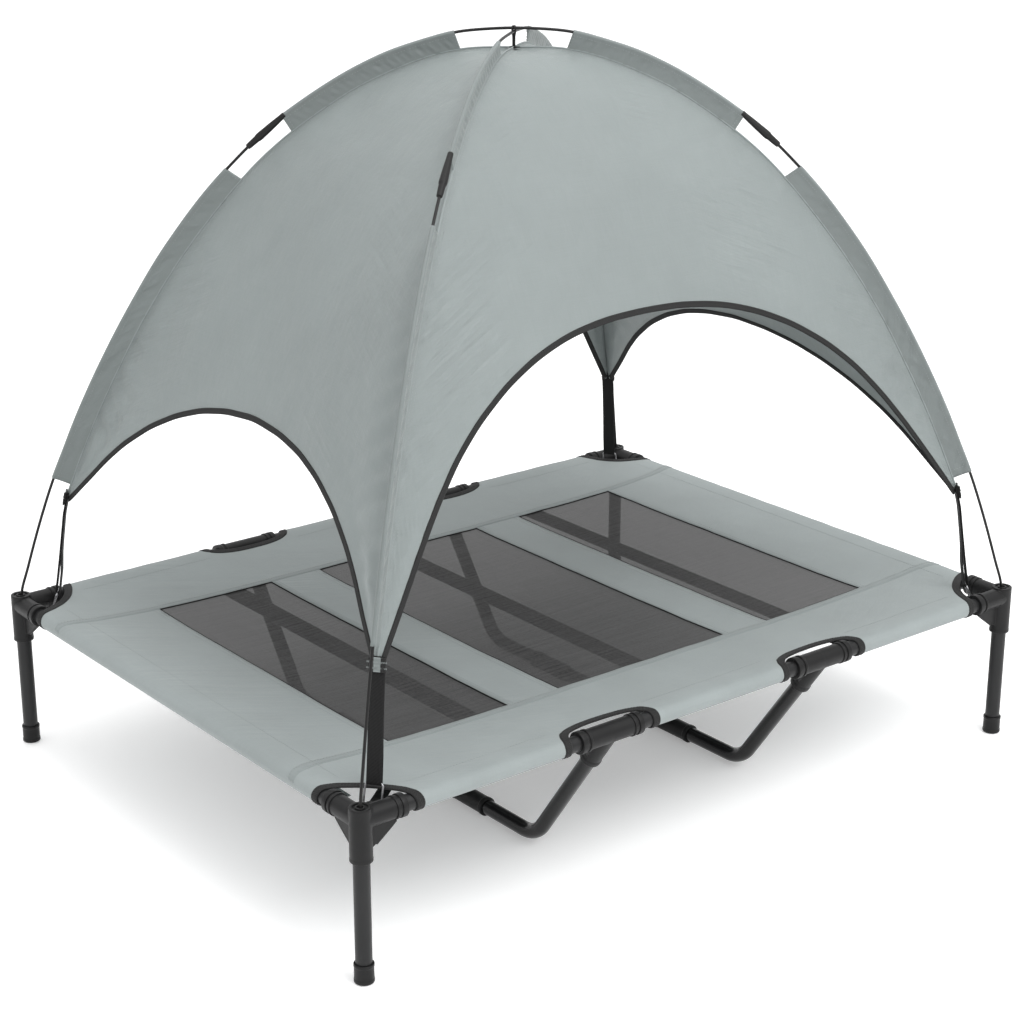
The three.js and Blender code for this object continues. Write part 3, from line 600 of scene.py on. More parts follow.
def mesh_cloth(name):
    """Open vinyl-coated mesh: dark threads both ways, and a little of what is behind shows through."""
    m, nt, p = material(name)
    tc = nt.nodes.new("ShaderNodeTexCoord")
    vec = tc.outputs["UV"]
    a = wave(nt, vec, 0.0021, "X")
    b_ = wave(nt, vec, 0.0021, "Y")
    grid = maths(nt, "MAXIMUM", a, b_)
    streak = noise_tex(nt, scaled(nt, vec, (420, 9, 1)), 1.0, 3)
    streak2 = noise_tex(nt, scaled(nt, vec, (7, 190, 1)), 1.0, 4, 0.65)
    fleck = noise_tex(nt, scaled(nt, vec, (230, 230, 1)), 1.0, 2)
    tone = maths(nt, "ADD", maths(nt, "MULTIPLY", grid, 0.25), maths(nt, "ADD", maths(nt, "MULTIPLY", streak, 0.15), maths(nt, "ADD", maths(nt, "MULTIPLY", streak2, 0.40), maths(nt, "MULTIPLY", fleck, 0.20))))
    nt.links.new(ramp(nt, tone, [(0.42, (0.008, 0.008, 0.008)), (0.64, (0.064, 0.0633, 0.0633))]), p.inputs["Base Color"])
    nt.links.new(ramp(nt, streak, [(0.3, (0.55,) * 3), (0.7, (0.75,) * 3)]), p.inputs["Roughness"])
    p.inputs["Specular IOR Level"].default_value = 0.2
    alpha = ramp(nt, maths(nt, "ADD", maths(nt, "MULTIPLY", grid, 0.45), maths(nt, "ADD", maths(nt, "MULTIPLY", streak2, 0.30), maths(nt, "MULTIPLY", fleck, 0.25))), [(0.28, (0.86,) * 3), (0.70, (0.972,) * 3)])
    nt.links.new(alpha, p.inputs["Alpha"])
    b = nt.nodes.new("ShaderNodeBump")
    b.inputs["Strength"].default_value = 0.6
    b.inputs["Distance"].default_value = 0.0003
    nt.links.new(grid, b.inputs["Height"])
    nt.links.new(b.outputs["Normal"], p.inputs["Normal"])
    return m


M_CANOPY = cloth("canopy_cloth", (0.228, 0.258, 0.255), (0.182, 0.206, 0.204), period=0.0009, mottle=3.0, sheen=0.12, rough=(0.42, 0.58), bump=0.35, crease=0.0042, spec=0.5)
# pole sleeves: the canopy's fabric in a darker copy, painted shade standing in for the shade the sleeves sit in
M_SLEEVE_SHADED = cloth("sleeve_cloth_painted_shade", (0.182, 0.206, 0.203), (0.156, 0.177, 0.174), period=0.0009, mottle=5.0, sheen=0.12, rough=(0.45, 0.62), bump=0.35, crease=0.0030, spec=0.45)
M_SLING = cloth("sling_cloth", (0.290, 0.322, 0.321), (0.238, 0.266, 0.264), period=0.0012, mottle=9.0, sheen=0.15, rough=(0.62, 0.85), bump=0.5, slub=0.3, crease=0.0012)
M_HEM = cloth("hem_cloth", (0.262, 0.293, 0.291), (0.215, 0.242, 0.240), period=0.0012, mottle=14.0, sheen=0.15, rough=(0.62, 0.85), bump=0.5)
M_BINDING = webbing("black_binding", (0.026, 0.026, 0.026), (0.010, 0.010, 0.010), across=0.0011, along=0.0017)
M_WEB = webbing("black_webbing", (0.013, 0.013, 0.0133), (0.004, 0.004, 0.004))
M_THREAD = cloth("thread_grey", (0.30, 0.33, 0.325), (0.20, 0.22, 0.22), period=0.0006, coord="Object", mottle=40, sheen=0.1)
M_THREAD_DARK = cloth("thread_black", (0.03, 0.03, 0.03), (0.01, 0.01, 0.01), period=0.0006, coord="Object", mottle=40, sheen=0.1)
M_THREAD_LIGHT = cloth("thread_light", (0.62, 0.62, 0.62), (0.42, 0.42, 0.42), period=0.0006, coord="Object", mottle=40, sheen=0.1)
for m_thin in (M_CANOPY, M_SLEEVE_SHADED):
    thin = m_thin.node_tree.nodes["Principled BSDF"]
    thin.inputs["Subsurface Weight"].default_value = 0.42
    thin.inputs["Subsurface Radius"].default_value = (1.0, 1.0, 1.0)
    thin.inputs["Subsurface Scale"].default_value = 0.004
M_MESH = mesh_cloth("mesh_cloth")
M_PLASTIC = plastic("connector_plastic", (0.0125, 0.0125, 0.0128), (0.0070, 0.0070, 0.0072), rough=(0.36, 0.5))
M_FERRULE = plastic("ferrule_plastic", (0.016, 0.0155, 0.0155), (0.010, 0.010, 0.010), rough=(0.4, 0.55))
M_TUBE = paint("tube_powder_coat", (0.0165, 0.0167, 0.0172), (0.0120, 0.0122, 0.0127), rough=(0.34, 0.46), coat=0.0)
M_SUPPORT = paint("support_gloss_black", (0.008, 0.008, 0.0083), (0.005, 0.005, 0.0052), rough=(0.14, 0.24), coat=0.2)
M_POLE = paint("fibreglass_black", (0.013, 0.0127, 0.0127), (0.008, 0.008, 0.008), rough=(0.32, 0.45), peel=0.00003)
M_WIRE = metal("plated_wire", (0.40, 0.40, 0.41), (0.24, 0.24, 0.25), rough=(0.26, 0.42))

pieces = []


def piece(ob, body, slot, *nodes):
    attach(ob, body)
    if nodes:
        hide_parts(*nodes)
    pieces.append(ob)
    return ob


# ---------------------------------------------------------------- stage, light, camera
def stage():
    m, nt, p = material("studio_floor")
    p.inputs["Base Color"].default_value = (0.90, 0.90, 0.90, 1)
    p.inputs["Emission Color"].default_value = (1, 1, 1, 1)
    p.inputs["Emission Strength"].default_value = 0.26
    p.inputs["Roughness"].default_value = 0.75
    s = 60.0
    floor = make("studio_floor_sheet", [(-s, -s, -0.0004), (s, -s, -0.0004), (s, s, -0.0004), (-s, s, -0.0004)], [(0, 1, 2, 3)], m, False)
    w = bpy.data.worlds.new("studio")
    bpy.context.scene.world = w
    w.use_nodes = True
    wt = w.node_tree
    bg = wt.nodes["Background"]
    tcw = wt.nodes.new("ShaderNodeTexCoord")
    sep = wt.nodes.new("ShaderNodeSeparateXYZ")
    wt.links.new(tcw.outputs["Generated"], sep.inputs[0])
    wt.links.new(ramp(wt, sep.outputs[2], [(0.0, (0.60, 0.60, 0.605)), (0.30, (0.82, 0.82, 0.825)), (1.0, (1.0, 1.0, 1.0))]), bg.inputs[0])
    # a little less light from the left, low down
    left = maths(wt, "MULTIPLY", maths(wt, "MULTIPLY", sep.outputs[0], -1.0, clamp=True), maths(wt, "SUBTRACT", 1.0, maths(wt, "MULTIPLY", sep.outputs[2], 1.6), clamp=True))
    wt.links.new(maths(wt, "MULTIPLY", maths(wt, "SUBTRACT", 1.0, maths(wt, "MULTIPLY", left, 0.45)), 1.22), bg.inputs[1])

    def lamp(name, loc, aim, size, power, colour=(1, 1, 1)):
        d = bpy.data.lights.new(name, "AREA")
        d.shape = "RECTANGLE"
        d.size, d.size_y = size
        d.energy = power
        d.color = colour
        ob = bpy.data.objects.new(name, d)
        bpy.context.scene.collection.objects.link(ob)
        ob.location = loc
        ob.rotation_euler = (Vector(aim) - Vector(loc)).to_track_quat("-Z", "Y").to_euler()
        return ob

    lamp("key_soft", (0.2, -2.9, 3.9), (0, 0, 0.5), (2.4, 2.4), 95)
    lamp("top_soft", (0.0, 0.2, 4.2), (0, 0, 0), (3.6, 3.6), 40)
    cam = bpy.data.cameras.new("camera")
    cam.lens = 2226.44 / 1024 * 36
    cam.sensor_width = 36
    ob = bpy.data.objects.new("camera", cam)
    bpy.context.scene.collection.objects.link(ob)
    ob.location = (-1.96012, -2.47024, 1.47351)
    ob.rotation_euler = Vector((0.58598, 0.73971, -0.33083)).to_track_quat("-Z", "Y").to_euler()
    cam.clip_end = 100
    bpy.context.scene.camera = ob
    vs = bpy.context.scene.view_settings
    vs.view_transform = "Standard"
    vs.look = "None"
    vs.exposure = 0.0
    vs.gamma = 1.0


stage()

# ---------------------------------------------------------------- frame: plastics and tubes
def gusset_shell(pts, half):
    """A thin plate from an outline in (x, z), centred on y = 0, with softened edges."""
    n = len(pts)
    v = [(x, -half, z) for x, z in pts] + [(x, half, z) for x, z in pts]
    f = [tuple(range(n - 1, -1, -1)), tuple(range(n, 2 * n))]
    for i in range(n):
        j = (i + 1) % n
        f.append((i, j, n + j, n + i))
    return np.array(v), f


def barrel_profile(length):
    e = length
    return rounded([(0, 0), (0.0142, 0), (0.0142, e - 0.0005), (0.0119, e), (0.0117, e - 0.003), (0, e - 0.003)], 0.0004, 2)


def hoops(origin, direction, stations, inner=0.0128):
    """Crisp raised rings round a barrel: (start, end, radius) along its axis."""
    out = []
    for a, b_, r in stations:
        out.append(lathe(rounded([(0, a), (inner, a), (r - 0.0004, a), (r, a + 0.0005), (r, b_ - 0.0005), (r - 0.0004, b_), (inner, b_), (0, b_)], 0.0003, 2), origin, direction, 56))
    return out


def annulus(origin, r0, r1, z0, z1):
    """A crisp flat rim round the top of a socket."""
    prof = [(r0, z0), (r1, z0), (r1, z1 - 0.0008), (r1 - 0.0003, z1 - 0.0002), (r1 - 0.0009, z1), (r0 + 0.0007, z1), (r0 + 0.0002, z1 - 0.0002), (r0, z1 - 0.0007)]
    n = 64
    a = np.linspace(0, 2 * np.pi, n, endpoint=False)
    v = np.array([[origin[0] + r * math.cos(t), origin[1] + r * math.sin(t), z] for t in a for r, z in prof])
    m = len(prof)
    f = [(i * m + k, ((i + 1) % n) * m + k, ((i + 1) % n) * m + (k + 1) % m, i * m + (k + 1) % m) for i in range(n) for k in range(m)]
    return v, f, None


def corner_shells():
    shells = []
    prof = rounded([(0, 0.169), (0.0148, 0.169), (0.0151, 0.1695), (0.0151, 0.1735), (0.01475, 0.1742), (0.01475, 0.2402), (0, 0.2402)], 0.0004, 2)
    v, f, _ = lathe(prof, (0, 0, 0), (0, 0, 1), 56)
    shells.append((v, f))
    for d in ((1, 0, 0), (0, 1, 0)):
        v, f, _ = lathe(barrel_profile(0.063), (0, 0, RAIL_Z), d, 48)
        shells.append((v, f))
    pts = [(0.004, 0.221), (0.0515, 0.221), (0.0515, 0.2095)]
    for i in range(1, 8):          # hollow curve from the barrel down to the socket
        s = i / 8
        pts.append((0.0515 + (0.0165 - 0.0515) * s, 0.2095 + (0.183 - 0.2095) * (s ** 0.96)))
    pts += [(0.0155, 0.183), (0.004, 0.183)]
    v, f = gusset_shell(pts, 0.0034)
    shells.append((v, f))
    rot = np.array([[0, -1, 0], [1, 0, 0], [0, 0, 1]])
    shells.append((v @ rot.T * np.array([1, 1, 1]), f))
    # raised rib round the web's edge
    rib = [(x, z) for x, z in pts[2:-2]]
    p = np.array([(x, 0, z) for x, z in rib])
    tv, tf, _ = tube(soften(resample(p, 0.002), 4), 0.0037, 12, (0, 1, 0))
    shells.append((tv, tf))
    shells.append((tv @ rot.T, tf))
    return shells


def tee_shells():
    """Local frame: barrel along x at the origin, the leg leaves along (0, sin, -cos)."""
    down = np.array([0, math.sin(LEAN), -math.cos(LEAN)])
    shells = []
    for s in (-1, 1):
        v, f, _ = lathe(barrel_profile(0.053), (0, 0, 0), (s, 0, 0), 48)
        shells.append((v, f))
    prof = rounded([(0, 0), (0.0142, 0), (0.0142, 0.053), (0.0150, 0.0538), (0.0153, 0.0555), (0.0153, 0.0605), (0.0146, 0.062), (0.0118, 0.062), (0.0116, 0.059), (0, 0.059)], 0.0004, 2)
    v, f, _ = lathe(prof, (0, 0, 0), down, 48)
    shells.append((v, f))
    pts = [(-0.032, 0.005), (0.032, 0.005), (0.032, 0.0125)]
    for i in range(1, 7):
        s = i / 7
        pts.append((0.032 + (0.0135 - 0.032) * s, 0.0125 + 0.0345 * s ** 0.85))
    mirrored = [(-x, z) for x, z in reversed(pts[2:])]
    pts = pts + [(0.0135, 0.047), (-0.0135, 0.047)] + mirrored
    n = len(pts)
    half = 0.0034
    across = np.cross(np.array([1.0, 0, 0]), down)
    v = [np.array([1.0, 0, 0]) * a + down * b - across * half for a, b in pts] + [np.array([1.0, 0, 0]) * a + down * b + across * half for a, b in pts]
    f = [tuple(range(n - 1, -1, -1)), tuple(range(n, 2 * n))] + [(i, (i + 1) % n, n + (i + 1) % n, n + i) for i in range(n)]
    shells.append((np.array(v), f))
    return shells


corner_mesh = moulded(corner_shells())
tee_mesh = moulded(tee_shells())
for name, sx, sy in CORNERS:
    mat = Matrix.Translation((sx * HX, sy * HY, 0)) @ Matrix.Diagonal((-sx, -sy, 1, 1))
    piece(place(corner_mesh, f"corner_joint_{name}", mat, M_PLASTIC), "frame", "connector", f"corner_connector_{name}")
    b = Bag()
    for d in ((-sx, 0, 0), (0, -sy, 0)):
        for h in hoops((sx * HX, sy * HY, RAIL_Z), d, ((0.0468, 0.0508, 0.0156), (0.0548, 0.0632, 0.0157))):
            b.add(*h)
    b.add(*annulus((sx * HX, sy * HY), 0.0104, 0.0147, 0.2392, 0.2420))
    b.add(*annulus((sx * HX, sy * HY), 0.0041, 0.0068, 0.2392, 0.2423))
    piece(b.object(f"corner_rims_{name}", M_PLASTIC, auto=40), "frame", "connector")
    # leg tube, with a rolled lower lip inside the cap
    b = Bag()
    b.add(*lathe([(0, 0.006), (0.0108, 0.006), (TUBE_R, 0.0064), (TUBE_R, 0.05), (TUBE_R, 0.1), (TUBE_R, 0.15), (TUBE_R, 0.2), (0, 0.2)], (sx * HX, sy * HY, 0), (0, 0, 1), 48))
    piece(b.object(f"leg_{name}", M_TUBE, auto=40), "frame", "tube", f"leg_tube_{name}")
    b = Bag()
    b.add(*lathe(rounded([(0, 0), (0.0112, 0), (0.0124, 0.0004), (0.0134, 0.0016), (0.0134, 0.0052), (0.0129, 0.0062), (0.0129, 0.0225), (0.0134, 0.0232), (0.0134, 0.0262),
                          (0.0126, 0.027), (0.0113, 0.027), (0.01115, 0.0262), (0, 0.0262)], 0.0005, 3), (sx * HX, sy * HY, 0), (0, 0, 1), 56))
    piece(b.object(f"foot_{name}", M_PLASTIC, auto=50), "frame", "connector", f"foot_cap_{name}")

for name, sx in (("left", -1), ("right", 1)):
    b = Bag()
    b.add(*tube(np.linspace((sx * HX, -HY + 0.0184, RAIL_Z), (sx * HX, HY - 0.0184, RAIL_Z), 12), TUBE_R, 40))
    piece(b.object(f"rail_end_{name}", M_TUBE, auto=40), "frame", "tube", f"end_rail_{name}")
for name, sy in (("front", -1), ("rear", 1)):
    for part, x0, x1 in (("left", -HX + 0.0184, -TEE_X - 0.0064), ("middle", -TEE_X + 0.0064, TEE_X - 0.0064), ("right", TEE_X + 0.0064, HX - 0.0184)):
        b = Bag()
        b.add(*tube(np.linspace((x0, sy * HY, RAIL_Z), (x1, sy * HY, RAIL_Z), 8), TUBE_R, 40))
        piece(b.object(f"rail_side_{name}_{part}", M_TUBE, auto=40), "frame", "tube", f"side_rail_{name}_{part}")

for side_name, sx in (("left", -1), ("right", 1)):
    x = sx * TEE_X
    for end_name, sy in (("front", -1), ("rear", 1)):
        mat = Matrix.Translation((x, sy * HY, RAIL_Z)) @ Matrix.Diagonal((1, -sy, 1, 1))
        piece(place(tee_mesh, f"tee_joint_{end_name}_{side_name}", mat, M_PLASTIC), "frame", "connector", f"tee_connector_{end_name}_{side_name}")
        down = np.array([0, -sy * math.sin(LEAN), -math.cos(LEAN)])
        b = Bag()
        for s_ in (-1, 1):
            for h in hoops((x, sy * HY, RAIL_Z), (s_, 0, 0), ((0.0368, 0.0408, 0.0156), (0.0448, 0.0532, 0.0157))):
                b.add(*h)
        piece(b.object(f"tee_rims_{end_name}_{side_name}", M_PLASTIC, auto=40), "frame", "connector")
        start = np.array([x, sy * HY, RAIL_Z]) + down * 0.0244
        turn = math.pi / 2 - LEAN
        tan = BEND_R * math.tan(turn / 2)
        corner = np.array([x, sy * BEND_Y, RUN_Z])
        b0, b1 = corner - down * tan, corner + np.array([0, -sy * tan, 0])
        mid = b1 + np.array([0, 0, BEND_R])
        arc = [np.array([x, mid[1] + sy * BEND_R * math.sin(turn - a), mid[2] - BEND_R * math.cos(turn - a)]) for a in np.linspace(0, turn, 25)]
        path = np.concatenate([np.linspace(start, b0, 12)[:-1], arc, np.linspace(b1, (x, sy * (JOINER_Y + 0.0008), RUN_Z), 12)[1:]])
        side = np.tile([1.0, 0, 0], (len(path), 1))
        up = unit(np.cross(side, tangents(path)))
        b = Bag()
        b.add(*sweep(path, side, up, ring_section(TUBE_R, 40)))
        piece(b.object(f"support_leg_{end_name}_{side_name}", M_SUPPORT, auto=40), "frame", "support", f"support_bend_{end_name}_{side_name}")
        b = Bag()
        v, f, uv = lathe(rounded([(0, -0.039), (0.0129, -0.039), (0.0141, -0.038), (0.0141, -0.033), (0.0133, -0.0322), (0.0133, 0.0322), (0.0141, 0.033), (0.0141, 0.038), (0.0129, 0.039), (0, 0.039)], 0.0006, 3), (x, sy * JOINER_Y, RUN_Z), (0, 1, 0), 48)
        v[:, 2] = np.maximum(v[:, 2], 0.0)
        b.add(v, f, uv)
        piece(b.object(f"joiner_{end_name}_{side_name}", M_PLASTIC, auto=50), "frame", "connector", f"support_joiner_{end_name}_{side_name}")
    b = Bag()
    b.add(*tube(np.linspace((x, -JOINER_Y + 0.0008, RUN_Z), (x, JOINER_Y - 0.0008, RUN_Z), 10), TUBE_R, 40))
    piece(b.object(f"support_run_{side_name}", M_SUPPORT, auto=40), "frame", "support", f"support_bar_{side_name}")

# ---------------------------------------------------------------- bed sling
CUT = 0.079
FLAP = 0.040
S_MAX = HX + math.pi * WRAP_R + FLAP
T_MAX = HY + math.pi * WRAP_R + FLAP
QUARTER = math.pi / 2 * WRAP_R
MESH_RECTS = [("left", -0.444, -0.246), ("middle", -0.156, 0.156), ("right", 0.246, 0.444)]
MESH_T = 0.296


def sag_of(x, y):
    gx = np.maximum(0, 1 - np.abs(x / (0.97 * HX)) ** 5)
    gy = np.maximum(0, 1 - np.abs(y / (0.97 * HY)) ** 5)
    return SAG * gx * gy


def sling_point(s, t):
    """From the flat cloth to its place: over the rails, round them and a flap underneath."""
    s, t = np.asarray(s, float), np.asarray(t, float)
    x, y = np.clip(s, -HX, HX), np.clip(t, -HY, HY)
    z = RAIL_Z + WRAP_R - sag_of(x, y)
    # soft unevenness of a stretched cloth
    ripple = 0.0007 * wobble(s * 23, t * 19) + 0.0004 * wobble(s * 61, t * 57, 2.0)
    inner = np.clip((HX - np.abs(x)) / 0.05, 0, 1) * np.clip((HY - np.abs(y)) / 0.05, 0, 1)
    z = z + ripple * inner

    def wrap(e):
        phi = np.minimum(e / WRAP_R, math.pi)
        flat = np.maximum(e - math.pi * WRAP_R, 0)
        return WRAP_R * np.sin(phi) - flat, WRAP_R * (1 - np.cos(phi))

    ex, ey = np.maximum(np.abs(s) - HX, 0), np.maximum(np.abs(t) - HY, 0)
    ox, dx = wrap(ex)
    oy, dy = wrap(ey)
    x = x + np.sign(s) * ox
    y = y + np.sign(t) * oy
    z = z - dx - dy
    # puckers where the cloth turns over the rails
    turn_y = np.exp(-((np.abs(t) - HY - 0.004) / 0.02) ** 2)
    turn_x = np.exp(-((np.abs(s) - HX - 0.004) / 0.02) ** 2)
    z = z + 0.0005 * turn_y * wobble(s * 70, t * 8, 1.0) + 0.0005 * turn_x * wobble(t * 70, s * 8, 3.0)
    return np.stack([x, y, z], -1)


def sling_normal(s, t):
    e = 0.0015
    a = sling_point(s + e, t) - sling_point(s - e, t)
    b = sling_point(s, t + e) - sling_point(s, t - e)
    return unit(np.cross(a, b))


def corner_curve(sx, sy, n=26):
    """The cut corner, from the long side to the short side, in the flat cloth."""
    a = np.array([HX - CUT, HY + QUARTER])
    c = np.array([HX + QUARTER, HY - CUT])
    q = np.array([HX - 0.062, HY - 0.062])
    t = np.linspace(0, 1, n)[:, None]
    p = (1 - t) ** 2 * a + 2 * t * (1 - t) * q + t ** 2 * c
    return p * np.array([sx, sy])


def notch_curve(cx, sy, n=34):
    """The opening for a tee in a long edge, left to right."""
    a = np.linspace(math.pi, 0, n)
    half, depth = 0.072, QUARTER + 0.0215
    w = np.sign(np.cos(a)) * np.abs(np.cos(a)) ** 0.8
    h = np.sin(a) ** 0.62
    return np.c_[cx + half * w, sy * (HY + QUARTER - depth * h)]


def outline():
    p = []
    # front edge, left to right
    p += [(-(HX - CUT), -T_MAX)]
    for cx in (-TEE_X, TEE_X):
        p += [(cx - 0.072, -T_MAX)] + [tuple(q) for q in notch_curve(cx, -1)] + [(cx + 0.072, -T_MAX)]
    p += [(HX - CUT, -T_MAX)]
    p += [tuple(q) for q in corner_curve(1, -1)]
    p += [(S_MAX, -(HY - CUT)), (S_MAX, HY - CUT)]
    p += [tuple(q) for q in corner_curve(1, 1)[::-1]]
    p += [(HX - CUT, T_MAX)]
    for cx in (TEE_X, -TEE_X):
        p += [(cx + 0.072, T_MAX)] + [tuple(q) for q in notch_curve(cx, 1)[::-1]] + [(cx - 0.072, T_MAX)]
    p += [(-(HX - CUT), T_MAX)]
    p += [tuple(q) for q in corner_curve(-1, 1)]
    p += [(-S_MAX, HY - CUT), (-S_MAX, -(HY - CUT))]
    p += [tuple(q) for q in corner_curve(-1, -1)[::-1]]
    dense = []
    for a, b in zip(p, p[1:] + p[:1]):
        a, b = np.array(a), np.array(b)
        k = max(1, int(np.ceil(np.linalg.norm(b - a) / 0.010)))
        for i in range(k):
            dense.append(tuple(a + (b - a) * i / k))
    out = [dense[0]]
    for q in dense[1:]:
        if math.hypot(q[0] - out[-1][0], q[1] - out[-1][1]) > 0.0008:
            out.append(q)
    return np.array(out)


def inside(poly, pts):
    x, y = pts[:, 0], pts[:, 1]
    hit = np.zeros(len(pts), bool)
    a = poly
    b = np.roll(poly, -1, axis=0)
    for (x0, y0), (x1, y1) in zip(a, b):
        cond = (y0 > y) != (y1 > y)
        if y0 == y1:
            continue
        xi = x0 + (y - y0) * (x1 - x0) / (y1 - y0)
        hit ^= cond & (x < xi)
    return hit


def far_from(poly, pts, dist):
    ok = np.ones(len(pts), bool)
    a, b = poly, np.roll(poly, -1, axis=0)
    for p, q in zip(a, b):
        d = q - p
        l2 = float(d @ d)
        if l2 < 1e-14:
            continue
        u = np.clip(((pts - p) @ d) / l2, 0, 1)
        ok &= np.linalg.norm(pts - (p + u[:, None] * d), axis=1) > dist
    return ok


def build_sling():
    poly = outline()
    holes = []
    for _, x0, x1 in MESH_RECTS:
        c = [(x0, -MESH_T), (x1, -MESH_T), (x1, MESH_T), (x0, MESH_T)]
        h = []
        for a, b in zip(c, c[1:] + c[:1]):
            a, b = np.array(a), np.array(b)
            k = int(np.ceil(np.linalg.norm(b - a) / 0.012))
            h += [tuple(a + (b - a) * i / k) for i in range(k)]
        holes.append(np.array(h))

    def lines(h, m):
        flat = np.linspace(-h, h, int(2 * h / 0.012) + 1)
        rim = h + np.arange(1, int((m - h) / 0.0038) + 1) * 0.0038
        return np.concatenate([-rim[::-1], flat, rim])

    gs, gt = np.meshgrid(lines(HX, S_MAX), lines(HY, T_MAX))
    pts = np.c_[gs.ravel(), gt.ravel()]
    keep = inside(poly, pts) & far_from(poly, pts, 0.0026)
    for h in holes:
        keep &= ~inside(h, pts) & far_from(h, pts, 0.004)
    # no point where both folds would meet
    keep &= ~((np.abs(pts[:, 0]) > HX) & (np.abs(pts[:, 1]) > HY))
    pts = pts[keep]
    coords, edges = [], []
    for loop in [poly] + holes:
        o = len(coords)
        coords += [tuple(q) for q in loop]
        edges += [(o + i, o + (i + 1) % len(loop)) for i in range(len(loop))]
    coords += [tuple(q) for q in pts]
    res = delaunay_2d_cdt([Vector(c) for c in coords], edges, [], 0, 1e-7)
    v2 = np.array([tuple(v) for v in res[0]])
    tris = np.array([f for f in res[2]])
    mid = v2[tris].mean(1)
    ok = inside(poly, mid)
    for h in holes:
        ok &= ~inside(h, mid)
    tris = tris[ok]
    used = np.unique(tris)
    remap = -np.ones(len(v2), int)
    remap[used] = np.arange(len(used))
    v2, tris = v2[used], remap[tris]
    a, b, c = v2[tris[:, 0]], v2[tris[:, 1]], v2[tris[:, 2]]
    area = (b[:, 0] - a[:, 0]) * (c[:, 1] - a[:, 1]) - (b[:, 1] - a[:, 1]) * (c[:, 0] - a[:, 0])
    tris[area < 0] = tris[area < 0][:, ::-1]
    p = sling_point(v2[:, 0], v2[:, 1])
    ob = make("sling_sheet", p, tris, M_SLING, True, uv=v2)
    so = ob.modifiers.new("cloth_thickness", "SOLIDIFY")
    so.thickness = 0.0011
    so.offset = -1
    piece(ob, "frame", "sling_fabric", "bed_sling")
    flat_area = float(np.abs(area).sum() / 2)
    return ob, poly, flat_area


sling, sling_poly, sling_area = build_sling()


def edge_band(curve, width, thick, inset, body_up=0.0, poly_inside=None):
    """A tape folded over a cut edge of the sling. curve is in the flat cloth."""
    c = resample(curve, 0.003)
    t = tangents(c)
    nrm = np.c_[-t[:, 1], t[:, 0]]
    probe = c[len(c) // 2] + nrm[len(c) // 2] * 0.004
    if not inside(sling_poly, probe[None])[0]:
        nrm = -nrm
    mid = c + nrm * inset
    p = sling_point(mid[:, 0], mid[:, 1])
    n = sling_normal(mid[:, 0], mid[:, 1])
    q = sling_point(mid[:, 0] + nrm[:, 0] * 0.002, mid[:, 1] + nrm[:, 1] * 0.002)
    side = unit(q - p)
    up = n
    p = p - n * 0.00055 + n * body_up
    sec = band_section(width, thick, 0.45)
    return sweep(p, side, up, sec), (mid, nrm)


b = Bag()
binding_rows = []
for sx, sy in ((1, 1), (1, -1), (-1, 1), (-1, -1)):
    c = corner_curve(sx, sy, 60)
    c = np.concatenate([[[sx * (HX - CUT), sy * T_MAX * 0.985]], c, [[sx * S_MAX * 0.985, sy * (HY - CUT)]]])
    c = soften(resample(c, 0.002), 6)
    (v, f, uv), (mid, nrm) = edge_band(c, 0.0125, 0.0029, 0.0045)
    b.add(v, f, uv)
    binding_rows.append((mid, nrm))
for cx in (-TEE_X, TEE_X):
    for sy in (-1, 1):
        c = notch_curve(cx, sy, 80)
        c = np.concatenate([[[cx - 0.072, sy * T_MAX * 0.985]], c, [[cx + 0.072, sy * T_MAX * 0.985]]])
        c = soften(resample(c, 0.002), 6)
        (v, f, uv), (mid, nrm) = edge_band(c, 0.0125, 0.0029, 0.0045)
        b.add(v, f, uv)
        binding_rows.append((mid, nrm))
piece(b.object("sling_binding", M_BINDING), "frame", "webbing")

# mesh panels: sewn under the cloth, with a narrow dark edge
for name, x0, x1 in MESH_RECTS:
    lap = 0.007
    xs = np.linspace(x0 - lap, x1 + lap, int((x1 - x0) / 0.010) + 2)
    ys = np.linspace(-MESH_T - lap, MESH_T + lap, 62)
    gx, gy = np.meshgrid(xs, ys, indexing="ij")
    p = sling_point(gx.ravel(), gy.ravel())
    n = sling_normal(gx.ravel(), gy.ravel())
    belly = 0.0012 * (1 - ((gx.ravel() - (x0 + x1) / 2) / ((x1 - x0) / 2 + lap)) ** 2).clip(0) * (1 - (gy.ravel() / (MESH_T + lap)) ** 2).clip(0)
    p = p - n * (0.0013 + belly[:, None])
    nx, ny = len(xs), len(ys)
    f = [(i * ny + j, (i + 1) * ny + j, (i + 1) * ny + j + 1, i * ny + j + 1) for i in range(nx - 1) for j in range(ny - 1)]
    ob = make(f"mesh_panel_{name}", p, f, M_MESH, True, uv=np.c_[gx.ravel(), gy.ravel()])
    piece(ob, "frame", "sling_fabric")
# a narrow dark line round each mesh window, drawn as a thin band of the black binding cloth
b = Bag()
rows_edge, rows_seam = [], []
for name, x0, x1 in MESH_RECTS:
    loop = [(x0, -MESH_T), (x1, -MESH_T), (x1, MESH_T), (x0, MESH_T)]
    for a, c in zip(loop, loop[1:] + loop[:1]):
        line = resample([a, c], 0.006)
        p = sling_point(line[:, 0], line[:, 1])
        n = sling_normal(line[:, 0], line[:, 1])
        side = unit(np.cross(tangents(p), n))
        b.add(*sweep(p - n * 0.0004, side, n, band_section(0.0020, 0.0017, 0.5)))
    for off in (0.0045, 0.0105):
        loop = [(x0 - off, -MESH_T - off), (x1 + off, -MESH_T - off), (x1 + off, MESH_T + off), (x0 - off, MESH_T + off)]
        for a, c in zip(loop, loop[1:] + loop[:1]):
            line = resample([a, c], 0.006)
            rows_seam.append((sling_point(line[:, 0], line[:, 1]), sling_normal(line[:, 0], line[:, 1])))
piece(b.object("mesh_edge_dark_line", M_BINDING), "frame", "webbing")

